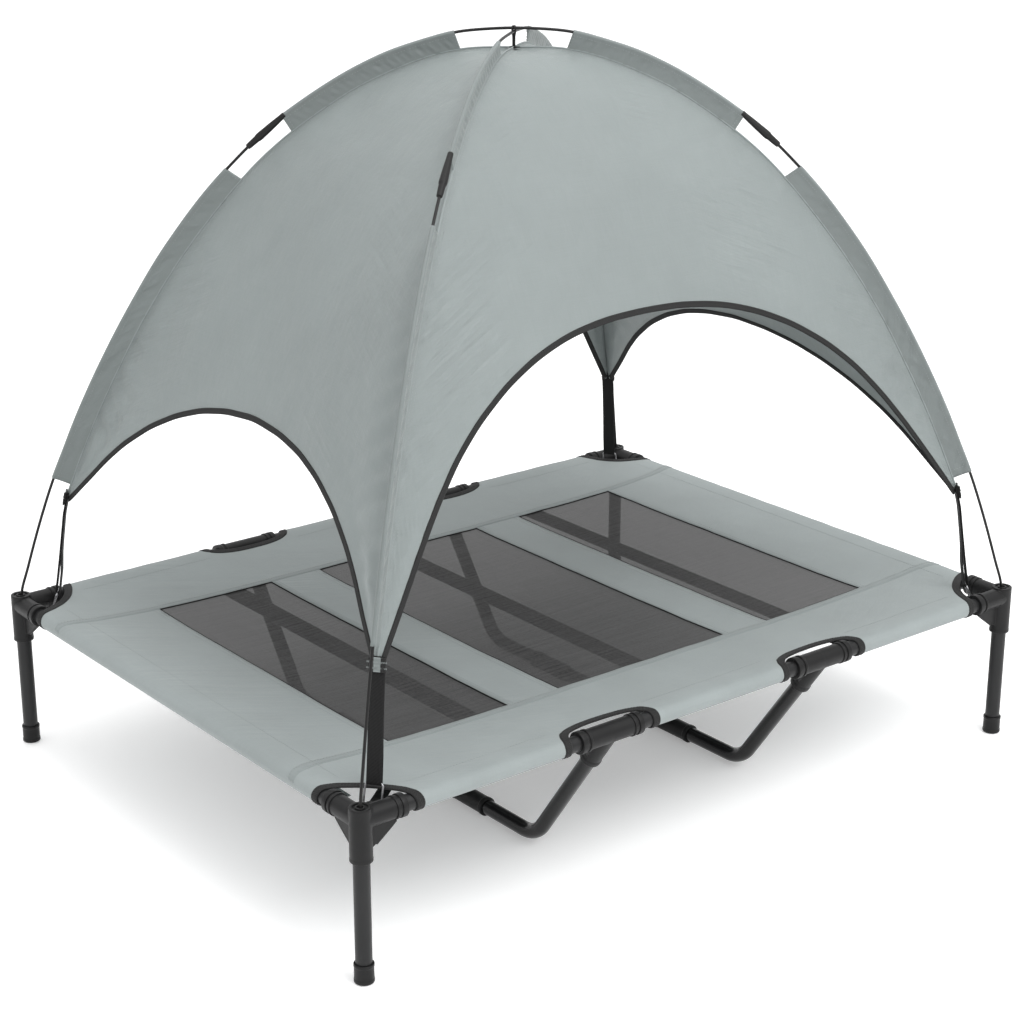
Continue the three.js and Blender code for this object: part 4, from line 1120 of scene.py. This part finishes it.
# hems along the long side bands, where the middle field is sewn on
b = Bag()
for sy in (-1, 1):
    ends = HX + QUARTER * 0.9
    s = np.concatenate([np.linspace(-ends, -0.50, 40), np.linspace(-0.50, 0.50, 160)[1:], np.linspace(0.50, ends, 40)[1:]])
    bow = 0.010 * np.clip((np.abs(s) - 0.545) / 0.06, 0, 1) ** 1.6
    t = sy * (MESH_T + 0.0075 + bow)
    p = sling_point(s, t)
    n = sling_normal(s, t)
    side = unit(np.cross(tangents(p), n))
    b.add(*sweep(p - n * 0.0001, side, n, band_section(0.0150, 0.0009, 0.5)))
    for off in (0.0030, 0.0115):
        tt = sy * (MESH_T + off + bow)
        rows_seam.append((sling_point(s, tt) + sling_normal(s, tt) * 0.0006, sling_normal(s, tt)))
piece(b.object("sling_hem", M_HEM), "frame", "sling_fabric")
for sy in (-1, 1):     # the long pockets' closing seam
    for a, c in ((-(HX - CUT) + 0.01, -TEE_X - 0.082), (-TEE_X + 0.082, TEE_X - 0.082), (TEE_X + 0.082, HX - CUT - 0.01)):
        s = np.linspace(a, c, 60)
        t = np.full_like(s, sy * (HY - 0.030))
        rows_seam.append((sling_point(s, t), sling_normal(s, t)))
for sx in (-1, 1):
    t = np.linspace(-(HY - CUT) + 0.01, HY - CUT - 0.01, 120)
    s = np.full_like(t, sx * (HX - 0.030))
    rows_seam.append((sling_point(s, t), sling_normal(s, t)))
v, f = stitch_rows(rows_seam)
piece(make("sling_stitching", v, f, M_THREAD, False), "frame", "sling_fabric")
rows = []
for mid, nrm in binding_rows:
    for off in (-0.0015, 0.0036):
        q = mid + nrm * off
        n = sling_normal(q[:, 0], q[:, 1])
        rows.append((sling_point(q[:, 0], q[:, 1]) + n * 0.0009, n))
v, f = stitch_rows(rows, 0.0026, 0.0040)
piece(make("binding_stitching", v, f, M_THREAD_DARK, False), "frame", "webbing")

# three webbing straps across the underside, sewn to the folded edges
for name, x in (("left", -0.2975), ("middle", 0.0), ("right", 0.2975)):
    y = np.linspace(-HY + 0.013, HY - 0.013, 60)
    z = np.full_like(y, 0.2128) + 0.0024 * np.clip((np.abs(y) - 0.395) / 0.02, 0, 1)
    p = np.c_[np.full_like(y, x), y, z]
    b = Bag()
    b.add(*sweep(p, np.tile([1.0, 0, 0], (60, 1)), np.tile([0, 0, 1.0], (60, 1)), band_section(0.038, 0.0016, 0.5)))
    piece(b.object(f"underside_strap_{name}", M_WEB), "frame", "webbing", f"under_webbing_{name}")

# ---------------------------------------------------------------- canopy cover
def diag(sx, sy):
    return np.array([sx * HX / D, sy * HY / D, 0.0])


NC, NR = 150, 64
TIP_HALF = 0.0095


def gore_point(long_side, sign, q, t):
    """A point of the cover on one panel: q along the side, t down the seam's length."""
    half, reach = (HX, HY) if long_side else (HY, HX)
    r, z = seam_at(t)
    r2, z2 = seam_at(t + 0.002)
    r1, z1 = seam_at(t - 0.002)
    dn, dz = (r2 - r1) * reach / D, z2 - z1
    l = np.maximum(np.hypot(dn, dz), 1e-9)
    n_out, n_up = -dz / l, dn / l
    ridge = np.maximum(r * half / D, 1e-6)
    w = np.clip(np.abs(q) / ridge, 0, 1)
    depth = np.clip(t / SEAM_L, 0, 1)
    # taut cloth between two arched seams pulls in a little
    sag = 0.013 * (1 - w ** 2) * np.sin(np.pi * np.clip(depth * 0.9 + 0.05, 0, 1)) ** 0.7
    # pull lines that fan out of the four tips, and puckers along the seams
    tipq = seam[-1, 0] * half / D
    dq, dt = tipq - np.abs(q), SEAM_L - t
    rho = np.hypot(dq, dt) + 1e-6
    ang = np.arctan2(dq, np.maximum(dt, -0.2))
    fold = 0.0038 * np.exp(-rho / 0.22) * np.sin(ang * 17 + 1.3 * np.sign(q) + rho * 5) * np.clip((rho - 0.03) / 0.08, 0, 1) * np.clip((1 - w) / 0.08, 0, 1)
    gap = (1 - w) * ridge
    pucker = 0.0036 * np.exp(-gap / 0.035) * wobble(t * 95 + q * 30, q * 45, 1.0 + sign) * np.clip((gap - 0.004) / 0.020, 0, 1)
    # broad soft undulation of the cloth
    soft = (0.0044 * wobble(q * 9 + sign, t * 7, 0.3 if long_side else 2.1) + 0.0014 * wobble(q * 24, t * 19 + sign, 4.0) + 0.0007 * wobble(q * 55, t * 33 - sign, 6.0)) * np.clip(gap / 0.05, 0, 1) * np.clip(t / 0.12, 0, 1)
    # slanting drag wrinkles below the sleeves, lower half of each ridge
    slip = 2.6 * wobble(q * 11, t * 9, 8.0 + sign) + 1.5 * wobble(q * 29, t * 23, 2.0 - sign)
    uneven = np.clip(0.40 + 0.75 * wobble(q * 15 + 3, t * 12, 5.0 - sign), 0, 1)
    drag = 0.0034 * uneven * np.exp(-((gap - 0.03) / 0.05) ** 2) * np.sin((t * 1.0 + np.abs(q) * 0.75) * 124 + slip) * np.clip((t - 0.45) / 0.2, 0, 1) * np.clip((SEAM_L - t) / 0.15, 0, 1)
    edge = edge_long if long_side else edge_short
    t_edge = seam_t_of_z(np.interp(np.abs(q), edge[:, 0], edge[:, 1]))
    calm = np.clip((t_edge - t) / 0.045, 0, 1)
    calm = calm * calm * (3 - 2 * calm)
    seam_calm = np.clip(gap / 0.016, 0, 1)
    calm = calm * seam_calm * seam_calm * (3 - 2 * seam_calm)
    off = -sag + (fold + pucker + soft + drag) * calm
    out = r * reach / D + n_out * off
    up = z + n_up * off
    if long_side:
        return np.stack([q, sign * out, up], -1)
    return np.stack([sign * out, q, up], -1)


def gore_grid(long_side, sign):
    half = HX if long_side else HY
    edge = edge_long if long_side else edge_short
    tip = seam[-1, 0] * half / D - 0.0035
    w = np.linspace(-1, 1, NC + 1)
    q = tip * np.sign(w) * np.abs(w) ** 0.92
    top = seam_t_of_r(np.abs(q) * D / half)
    z_edge = np.interp(np.abs(q) + TIP_HALF * (np.abs(q) / tip) ** 5, edge[:, 0], edge[:, 1])
    bottom = np.maximum(seam_t_of_z(z_edge), top + 0.007)
    v = np.linspace(0, 1, NR + 1)
    tt = top[:, None] + (bottom - top)[:, None] * v[None]
    qq = np.repeat(q[:, None], NR + 1, 1)
    return qq, tt, bottom


canopy_v, canopy_f, canopy_uv = [], [], []
edge_paths = {}
offset = 0
for long_side, sign, nm in ((True, -1, "front"), (True, 1, "rear"), (False, -1, "left"), (False, 1, "right")):
    qq, tt, bottom = gore_grid(long_side, sign)
    p = gore_point(long_side, sign, qq, tt)
    canopy_v.append(p.reshape(-1, 3))
    canopy_uv.append(np.stack([qq, tt], -1).reshape(-1, 2))
    m = NR + 1
    flip = (sign > 0) == long_side
    for i in range(NC):
        for j in range(NR):
            f = (offset + i * m + j, offset + (i + 1) * m + j, offset + (i + 1) * m + j + 1, offset + i * m + j + 1)
            canopy_f.append(f if flip else f[::-1])
    offset += (NC + 1) * m
    edge_paths[nm] = (long_side, sign, qq[:, 0], bottom)
cv = np.concatenate(canopy_v)
canopy = make("canopy_cover", cv, canopy_f, M_CANOPY, True, uv=np.concatenate(canopy_uv))
bm = bmesh.new()
bm.from_mesh(canopy.data)
bmesh.ops.remove_doubles(bm, verts=bm.verts, dist=0.00025)
bmesh.ops.recalc_face_normals(bm, faces=bm.faces)
top_face = max(bm.faces, key=lambda fc: fc.calc_center_median().z)
if top_face.normal.z < 0:
    bmesh.ops.reverse_faces(bm, faces=bm.faces)
bm.to_mesh(canopy.data)
bm.free()
so = canopy.modifiers.new("cloth_thickness", "SOLIDIFY")
so.thickness = 0.0009
so.offset = -1
piece(canopy, "canopy", "canopy_fabric", "canopy_panel_front", "canopy_panel_rear", "canopy_panel_left", "canopy_panel_right")


def gore_normal(long_side, sign, q, t):
    e = 0.002
    a = gore_point(long_side, sign, q + e, t) - gore_point(long_side, sign, q - e, t)
    b_ = gore_point(long_side, sign, q, t + e) - gore_point(long_side, sign, q, t - e)
    n = unit(np.cross(a, b_))
    p = gore_point(long_side, sign, q, t)
    away = p - np.array([0, 0, 0.45])
    return n * np.sign((n * away).sum(-1, keepdims=True))


# arch bindings
b = Bag()
rows_arch, rows_arch_light = [], []
for nm, (long_side, sign, q, bottom) in edge_paths.items():
    half = HX if long_side else HY
    tip_q = seam[-1, 0] * half / D - 0.0035
    ok = np.abs(q) <= tip_q - TIP_HALF - 0.006
    ends = np.array([tip_q - TIP_HALF + 0.0035, SEAM_L + 0.0015])
    path = np.concatenate([[ends * (-1, 1)], np.c_[q[ok], bottom[ok]], [ends]])
    path = soften(resample(path, 0.004), 3)
    q2, t2 = path[:, 0], path[:, 1]
    inset = 0.0036
    p = gore_point(long_side, sign, q2, t2 - 0.0)
    n = gore_normal(long_side, sign, q2, t2 - 0.004)
    tan = tangents(p)
    side = unit(np.cross(tan, n))
    up_in = gore_point(long_side, sign, q2, t2 - 0.01) - p
    side = side * np.sign((side * up_in).sum(-1, keepdims=True))
    side, n = unit(soften(side, 8)), unit(soften(n, 8))
    mid = soften(p + side * inset - n * 0.00045, 6)
    b.add(*sweep(mid, side, n, band_section(0.0090, 0.0028, 0.45)))
    rows_arch.append((mid + side * 0.0028 + n * 0.0013, n))
piece(b.object("arch_binding", M_BINDING), "canopy", "webbing")
v, f = stitch_rows(rows_arch, 0.0028, 0.0042)
piece(make("arch_stitching", v, f, M_THREAD_DARK, False), "canopy", "webbing")

# ---------------------------------------------------------------- pole sleeves on the four ridges
pole_t = np.r_[0, np.cumsum(np.hypot(*np.diff(pole_part, axis=0).T))]


def pole_rz(r):
    return np.interp(r, pole_part[:, 0], pole_part[:, 1])


def apex_drop(r, amount):
    return amount * np.maximum(0, 1 - (np.abs(r) / 0.240) ** 2) ** 2


def pole_arm(u, drop, r):
    r = np.asarray(r, float)
    z = pole_rz(np.abs(r)) - apex_drop(r, drop)
    return np.stack([u[0] * r, u[1] * r, z], -1)


def sleeve(u, drop, r0, r1, slant0, slant1, name, seed):
    """A flat tube of cloth standing on the seam and holding the pole. r0, r1 are where it holds the pole."""
    k = int((r1 - r0) / 0.0024) + 2
    r = np.linspace(r0, r1, k)
    pp = np.c_[r, pole_rz(r) - apex_drop(r, drop)]
    tan = unit(np.gradient(pp, axis=0))
    nin = np.c_[tan[:, 1], -tan[:, 0]]
    nin = nin * np.sign((nin * np.array([-1.0, -1.0])).sum(1, keepdims=True))
    # foot of each rib on the seam: nearest point of the seam curve, sheared near the two ends
    feet = []
    for i, (a, n_) in enumerate(zip(pp, nin)):
        w0, w1 = max(0, 1 - (r[i] - r0) / 0.05), max(0, 1 - (r1 - r[i]) / 0.05)
        shear = slant0 * w0 ** 2 + slant1 * w1 ** 2
        d = (seam - (a + tan[i] * shear))
        cross = np.abs(d[:, 0] * n_[1] - d[:, 1] * n_[0])
        cross[(d @ n_) < 0] = 9
        feet.append(seam[int(np.argmin(cross))])
    feet = soften(np.array(feet), 6)
    side3 = np.array([-u[1], u[0], 0.0])
    to3 = lambda a: np.c_[u[0] * a[:, 0], u[1] * a[:, 0], a[:, 1]]
    top3, foot3 = to3(pp), to3(feet)
    up = unit(top3 - foot3)
    h = np.linalg.norm(top3 - foot3, axis=1)
    rr = 0.0031
    th = 0.0009
    secs = []
    arc = np.linspace(-0.35, math.pi + 0.35, 11)
    levels = [0.12, 0.25, 0.38, 0.50, 0.62, 0.74]
    lift = rr * math.sin(0.35)
    for i in range(k):
        hh = h[i]
        left, right = [], []
        fade = min(1.0, i / 4, (k - 1 - i) / 4)
        for g in levels:
            # slanting ripples of a gathered seam, strongest half way up
            bend = 0.0011 * fade * math.sin(math.pi * g) * float(wobble(r[i] * 210 - g * 5.0, r[i] * 60 + g * 2.0, seed))
            bend += 0.0006 * fade * math.sin(math.pi * g) * math.sin(r[i] * 620 - g * 7.5 + seed)
            wide = th * (1.0 + 1.6 * g ** 3)
            left.append((wide + bend, g * (hh - lift)))
            right.append((-wide + bend, g * (hh - lift)))
        over = [(rr * math.cos(a), hh + rr * math.sin(a)) for a in arc]
        secs.append([(th, -0.0025)] + left + over + right[::-1] + [(-th, -0.0025)])
    v, f, uv = sweep(foot3, np.tile(side3, (k, 1)), up, np.array(secs))
    rows = []
    for s in (-1, 1):
        base = foot3 + up * (0.0) + side3 * s * 0.0013
        rows.append((foot3 + up * (h * 0.80)[:, None] + side3 * s * th * 2.0, side3 * s))
    return (v, f, uv), rows, (foot3, up, side3, h)


POLE_R = 0.0021
POLES = (("a", (("front_left", -1, -1), ("rear_right", 1, 1)), 0.0049), ("b", (("front_right", 1, -1), ("rear_left", -1, 1)), 0.0))
rows_sleeve, rows_ridge = [], []
piping = Bag()
cuffs = Bag()
for pole, ends, drop in POLES:
    for name, sx, sy in ends:
        u = diag(sx, sy)
        b = Bag()
        for seg, (r0, r1, s0, s1) in enumerate(((0.083, 0.327, -0.004, 0.002), (0.408, 0.6835, -0.004, 0.0))):
            (v, f, uv), rows, (foot3, up, side3, h) = sleeve(u, drop, r0, r1, s0, s1, name, 1.7 * seg + sx + 2 * sy)
            b.add(v, f, uv)
            rows_sleeve += rows
            # narrow hems at both ends
            for e0, e1 in ((0, 3), (-4, -1)):
                idx = list(range(len(foot3)))[e0:e1 if e1 != -1 else None]
                for s in (-1, 1):
                    a = foot3[idx[1]] + side3 * s * 0.0016
                    c = foot3[idx[1]] + up[idx[1]] * h[idx[1]] * 0.93 + side3 * s * 0.0042
                    rows_sleeve.append((resample([a, foot3[idx[1]] + up[idx[1]] * h[idx[1]] * 0.7 + side3 * s * 0.0018, c], 0.002), side3 * s))
        piece(b.object(f"pole_sleeve_{name}", M_SLEEVE_SHADED), "canopy", "canopy_fabric")
        # corded seam along the ridge, under the sleeve
        k = 260
        t = np.linspace(0.004, SEAM_L - 0.004, k)
        r, z = seam_at(t)
        p = np.c_[u[0] * r, u[1] * r, z]
        side3 = np.array([-u[1], u[0], 0.0])
        tn = tangents(p)
        upv = unit(np.cross(side3, tn))
        upv = upv * np.sign(upv[:, 2:3] + 1e-9)
        piping.add(*sweep(p + upv * 0.0004, np.tile(side3, (k, 1)), upv, ring_section(0.0013, 8)))
        # two rows of stitches on each side of the ridge
        for s in (-1, 1):
            long_q = r * HX / D
            short_q = r * HY / D
            for off in (0.005, 0.010):
                # on the long panel and the short panel in turn
                if s < 0:
                    q = sx * (long_q - off)
                    ok = long_q - off > 0.004
                    pp = gore_point(True, sy, q[ok], t[ok])
                    nn = gore_normal(True, sy, q[ok], t[ok])
                else:
                    q = sy * (short_q - off)
                    ok = short_q - off > 0.004
                    pp = gore_point(False, sx, q[ok], t[ok])
                    nn = gore_normal(False, sx, q[ok], t[ok])
                rows_ridge.append((pp, nn))
piece(piping.object("ridge_seam", M_HEM), "canopy", "canopy_fabric")
v, f = stitch_rows(rows_ridge, 0.0028, 0.0044)
piece(make("ridge_stitching", v, f, M_THREAD, False), "canopy", "canopy_fabric")
v, f = stitch_rows(rows_sleeve, 0.0026, 0.0042)
piece(make("sleeve_stitching", v, f, M_THREAD, False), "canopy", "canopy_fabric")

# ---------------------------------------------------------------- poles and ferrules
FER = (0.323, 0.377)
for pole, ends, drop in POLES:
    for name, sx, sy in ends:
        u = diag(sx, sy)
        a, c = pole_arm(u, drop, FER[0]), pole_arm(u, drop, FER[1])
        r = np.concatenate([[0.7452, 0.7452, 0.7452, 0.7440], np.linspace(0.734, FER[1], 90)])
        z = np.concatenate([[0.210, 0.225, 0.2415, 0.2500], pole_rz(np.linspace(0.734, FER[1], 90))])
        p = np.c_[u[0] * r, u[1] * r, z]
        p = np.concatenate([p, [c * 0.51 + a * 0.49]])
        p = resample(p, 0.006)
        p[6:] = soften(p[4:], 5)[2:]
        side = np.tile(np.array([-u[1], u[0], 0.0]), (len(p), 1))
        up = unit(np.cross(side, tangents(p)))
        b = Bag()
        b.add(*sweep(p, side, up, ring_section(POLE_R, 16)))
        piece(b.object(f"pole_rod_{name}", M_POLE, auto=40), "canopy", "fibreglass", f"pole_{pole}_section_{name}")
        b = Bag()
        L = float(np.linalg.norm(c - a))
        b.add(*lathe(rounded([(0, 0), (0.0034, 0), (0.0039, 0.001), (0.0042, 0.010), (0.0050, L * 0.34), (0.0055, L * 0.55), (0.0058, L * 0.66), (0.0057, L * 0.70), (0.0048, L * 0.75), (0.0044, L * 0.92), (0.0041, L - 0.001), (0.0036, L), (0, L)], 0.0008, 3), a, c - a, 36))
        piece(b.object(f"pole_joint_{name}", M_FERRULE, auto=60), "canopy", "ferrule", f"pole_{pole}_ferrule_{name}")
    u = diag(ends[0][1], ends[0][2])
    r = np.linspace(-0.349, 0.349, 150)
    p = pole_arm(u, drop, r)
    side = np.tile(np.array([-u[1], u[0], 0.0]), (len(p), 1))
    up = unit(np.cross(side, tangents(p)))
    b = Bag()
    b.add(*sweep(p, side, up, ring_section(POLE_R, 16)))
    piece(b.object(f"pole_rod_middle_{pole}", M_POLE, auto=40), "canopy", "fibreglass", f"pole_{pole}_section_middle")

# tie loop that hangs the cover from the crossing of the poles
loop = np.array([(0, -0.0009, 1.0555), (0, -0.0010, 1.0720), (0, -0.0029, 1.0776), (0, -0.0031, 1.0840), (0, -0.0021, 1.0864), (0, 0, 1.0870),
                 (0, 0.0021, 1.0864), (0, 0.0031, 1.0840), (0, 0.0029, 1.0776), (0, 0.0010, 1.0720), (0, 0.0009, 1.0555)])
loop = soften(resample(loop, 0.0010), 2)
side = np.tile([1.0, 0, 0], (len(loop), 1))
b = Bag()
b.add(*sweep(loop, side, unit(np.cross(side, tangents(loop))), band_section(0.0042, 0.0008, 0.5)))
patch = np.linspace((0, -0.007, seam[0, 1] + 0.0004), (0, 0.007, seam[0, 1] + 0.0004), 20)
side = np.tile([1.0, 0, 0], (20, 1))
b.add(*sweep(patch, side, np.tile([0, 0, 1.0], (20, 1)), band_section(0.012, 0.0016, 0.5)))
piece(b.object("apex_tie", M_WEB), "canopy", "webbing")

# ---------------------------------------------------------------- hold-down straps, rings and bed loops
BAR, LOW = np.array([0.689, 0.247]), np.array([0.699, 0.222])
TIPRZ = np.array([0.668, 0.393])
rows_tack = []
tabs, tab_edges = Bag(), Bag()
for name, sx, sy in CORNERS:
    u = diag(sx, sy)
    side3 = np.array([-u[1], u[0], 0.0])
    to3 = lambda a: np.c_[u[0] * np.asarray(a)[:, 0], u[1] * np.asarray(a)[:, 0], np.asarray(a)[:, 1]]
    d = unit(BAR - TIPRZ)
    nrm2 = np.array([d[1], -d[0]])
    nrm2 = nrm2 * np.sign(nrm2[0])          # points away from the middle of the bed
    # path: sewn over the tip, down the outside, round the top bar of the ring, up the inside
    out_path = [TIPRZ - d * 0.014 - nrm2 * 0.0018, TIPRZ - nrm2 * 0.0010, TIPRZ + d * 0.02 + nrm2 * 0.0008]
    for k in np.linspace(0.2, 0.86, 9):
        out_path.append(TIPRZ + (BAR - TIPRZ) * k + nrm2 * (0.0009 + 0.0016 * k ** 3))
    ang = np.linspace(0, math.pi, 13)
    wrap = [BAR + nrm2 * 0.0027 * math.cos(a) + d * 0.0027 * math.sin(a) for a in ang]
    in_path = []
    for k in np.linspace(0.86, 0.2, 9):
        in_path.append(TIPRZ + (BAR - TIPRZ) * k - nrm2 * (0.0009 + 0.0024 * math.exp(-((k - 0.80) / 0.16) ** 2)))
    in_path += [TIPRZ + d * 0.02 - nrm2 * 0.0012, TIPRZ + d * 0.004 - nrm2 * 0.0028, TIPRZ - d * 0.012 - nrm2 * 0.0036]
    path2 = soften(resample(np.array(out_path + wrap + in_path), 0.0012), 3)
    p = to3(path2)
    side = np.tile(side3, (len(p), 1))
    up = unit(np.cross(side, tangents(p)))
    b = Bag()
    w = np.full(len(p), 0.020)
    b.add(*sweep(p, side, up, band_section(0.020, 0.0013, 0.5)))
    piece(b.object(f"hold_down_strap_{name}", M_WEB), "canopy", "webbing", f"canopy_strap_{name}")
    # the cover's tip and its two bindings run on over the head of the strap
    line2 = np.array([TIPRZ + d * k + nrm2 * (0.0016 if k > -0.004 else 0.0009) for k in np.linspace(-0.013, 0.0052, 12)])
    line3, outw = to3(line2), np.tile(to3([nrm2])[0], (12, 1))
    tabs.add(*sweep(line3, np.tile(side3, (12, 1)), outw, band_section(0.0135, 0.0010, 0.4)))
    for s in (-1, 1):
        edge3 = line3 + side3 * s * 0.0078
        tab_edges.add(*sweep(edge3, np.tile(side3, (12, 1)), outw, band_section(0.0072, 0.0026, 0.45)))
    # bartack across the tip, where the two bindings and the strap are sewn together
    n3 = to3([nrm2])[0]
    for off in (-0.004, 0.0035):
        c3 = to3([TIPRZ + d * (off - 0.004) + nrm2 * 0.0023])[0]
        rows_tack.append((np.linspace(c3 - side3 * 0.0135, c3 + side3 * 0.0135, 16), n3))
        c3 = to3([TIPRZ + d * (off - 0.0029) + nrm2 * 0.0023])[0]
        rows_tack.append((np.linspace(c3 - side3 * 0.0135, c3 + side3 * 0.0135, 16), n3))
    # ring: rounded rectangle of wire with a slot in the lower bar
    fall = unit(LOW - BAR)
    w, h, c = 0.0117, 0.028, 0.0045
    loc = [(0.0012, h), (w - c, h)] + [(w - c + c * math.sin(a), h - c + c * math.cos(a)) for a in np.linspace(0, math.pi / 2, 9)] + [(w, c)]
    loc += [(w - c + c * math.cos(a), c - c * math.sin(a)) for a in np.linspace(0, math.pi / 2, 9)] + [(-w + c, 0)]
    loc += [(-w + c - c * math.sin(a), c - c * math.cos(a)) for a in np.linspace(0, math.pi / 2, 9)] + [(-w, h - c)]
    loc += [(-w + c - c * math.cos(a), h - c + c * math.sin(a)) for a in np.linspace(0, math.pi / 2, 9)] + [(-0.0012, h)]
    fall3, bar3 = to3([fall])[0], to3([BAR])[0]
    p = np.array([bar3 + side3 * a + fall3 * q for a, q in loc])
    keep = np.r_[True, np.linalg.norm(np.diff(p, axis=0), axis=1) > 1e-5]
    p = p[keep]
    nn = unit(np.cross(side3, fall3))
    upv = np.tile(nn, (len(p), 1))
    b = Bag()
    b.add(*sweep(p, upv, unit(np.cross(upv, tangents(p))), ring_section(0.0014, 16)))
    piece(b.object(f"wire_ring_{name}", M_WIRE, auto=50), f"ring_{name}", "ring_wire", f"strap_ring_{name}")
    # webbing loop of the bed corner: from under the sling, up round the lower bar and back
    low = BAR + fall * h
    fn = np.array([fall[1], -fall[0]])
    fn = fn * np.sign(fn[0])
    # a slack loop, open wide enough for the bar to swing inside it
    path = [(0.640, 0.2185), (0.664, 0.2163), (0.684, 0.2138), (0.6945, 0.2166), (0.6994, 0.2182), (0.7034, 0.2196), (0.7054, 0.2219),
            (0.7040, 0.2245), (0.7005, 0.2248), (0.6950, 0.2230), (0.6860, 0.2192), (0.664, 0.2195), (0.640, 0.2208)]
    path2 = soften(resample(np.array(path), 0.0012), 3)
    p = to3(path2)
    side = np.tile(side3, (len(p), 1))
    b = Bag()
    b.add(*sweep(p, side, unit(np.cross(side, tangents(p))), band_section(0.0165, 0.0013, 0.5)))
    piece(b.object(f"bed_loop_{name}", M_WEB), "frame", "webbing")
piece(tabs.object("tip_patches", M_CANOPY), "canopy", "canopy_fabric")
piece(tab_edges.object("tip_bindings", M_BINDING), "canopy", "webbing")
v, f = stitch_rows(rows_tack, 0.0016, 0.0019, 0.00042)
piece(make("tip_bartacks", v, f, M_THREAD, False), "canopy", "webbing")
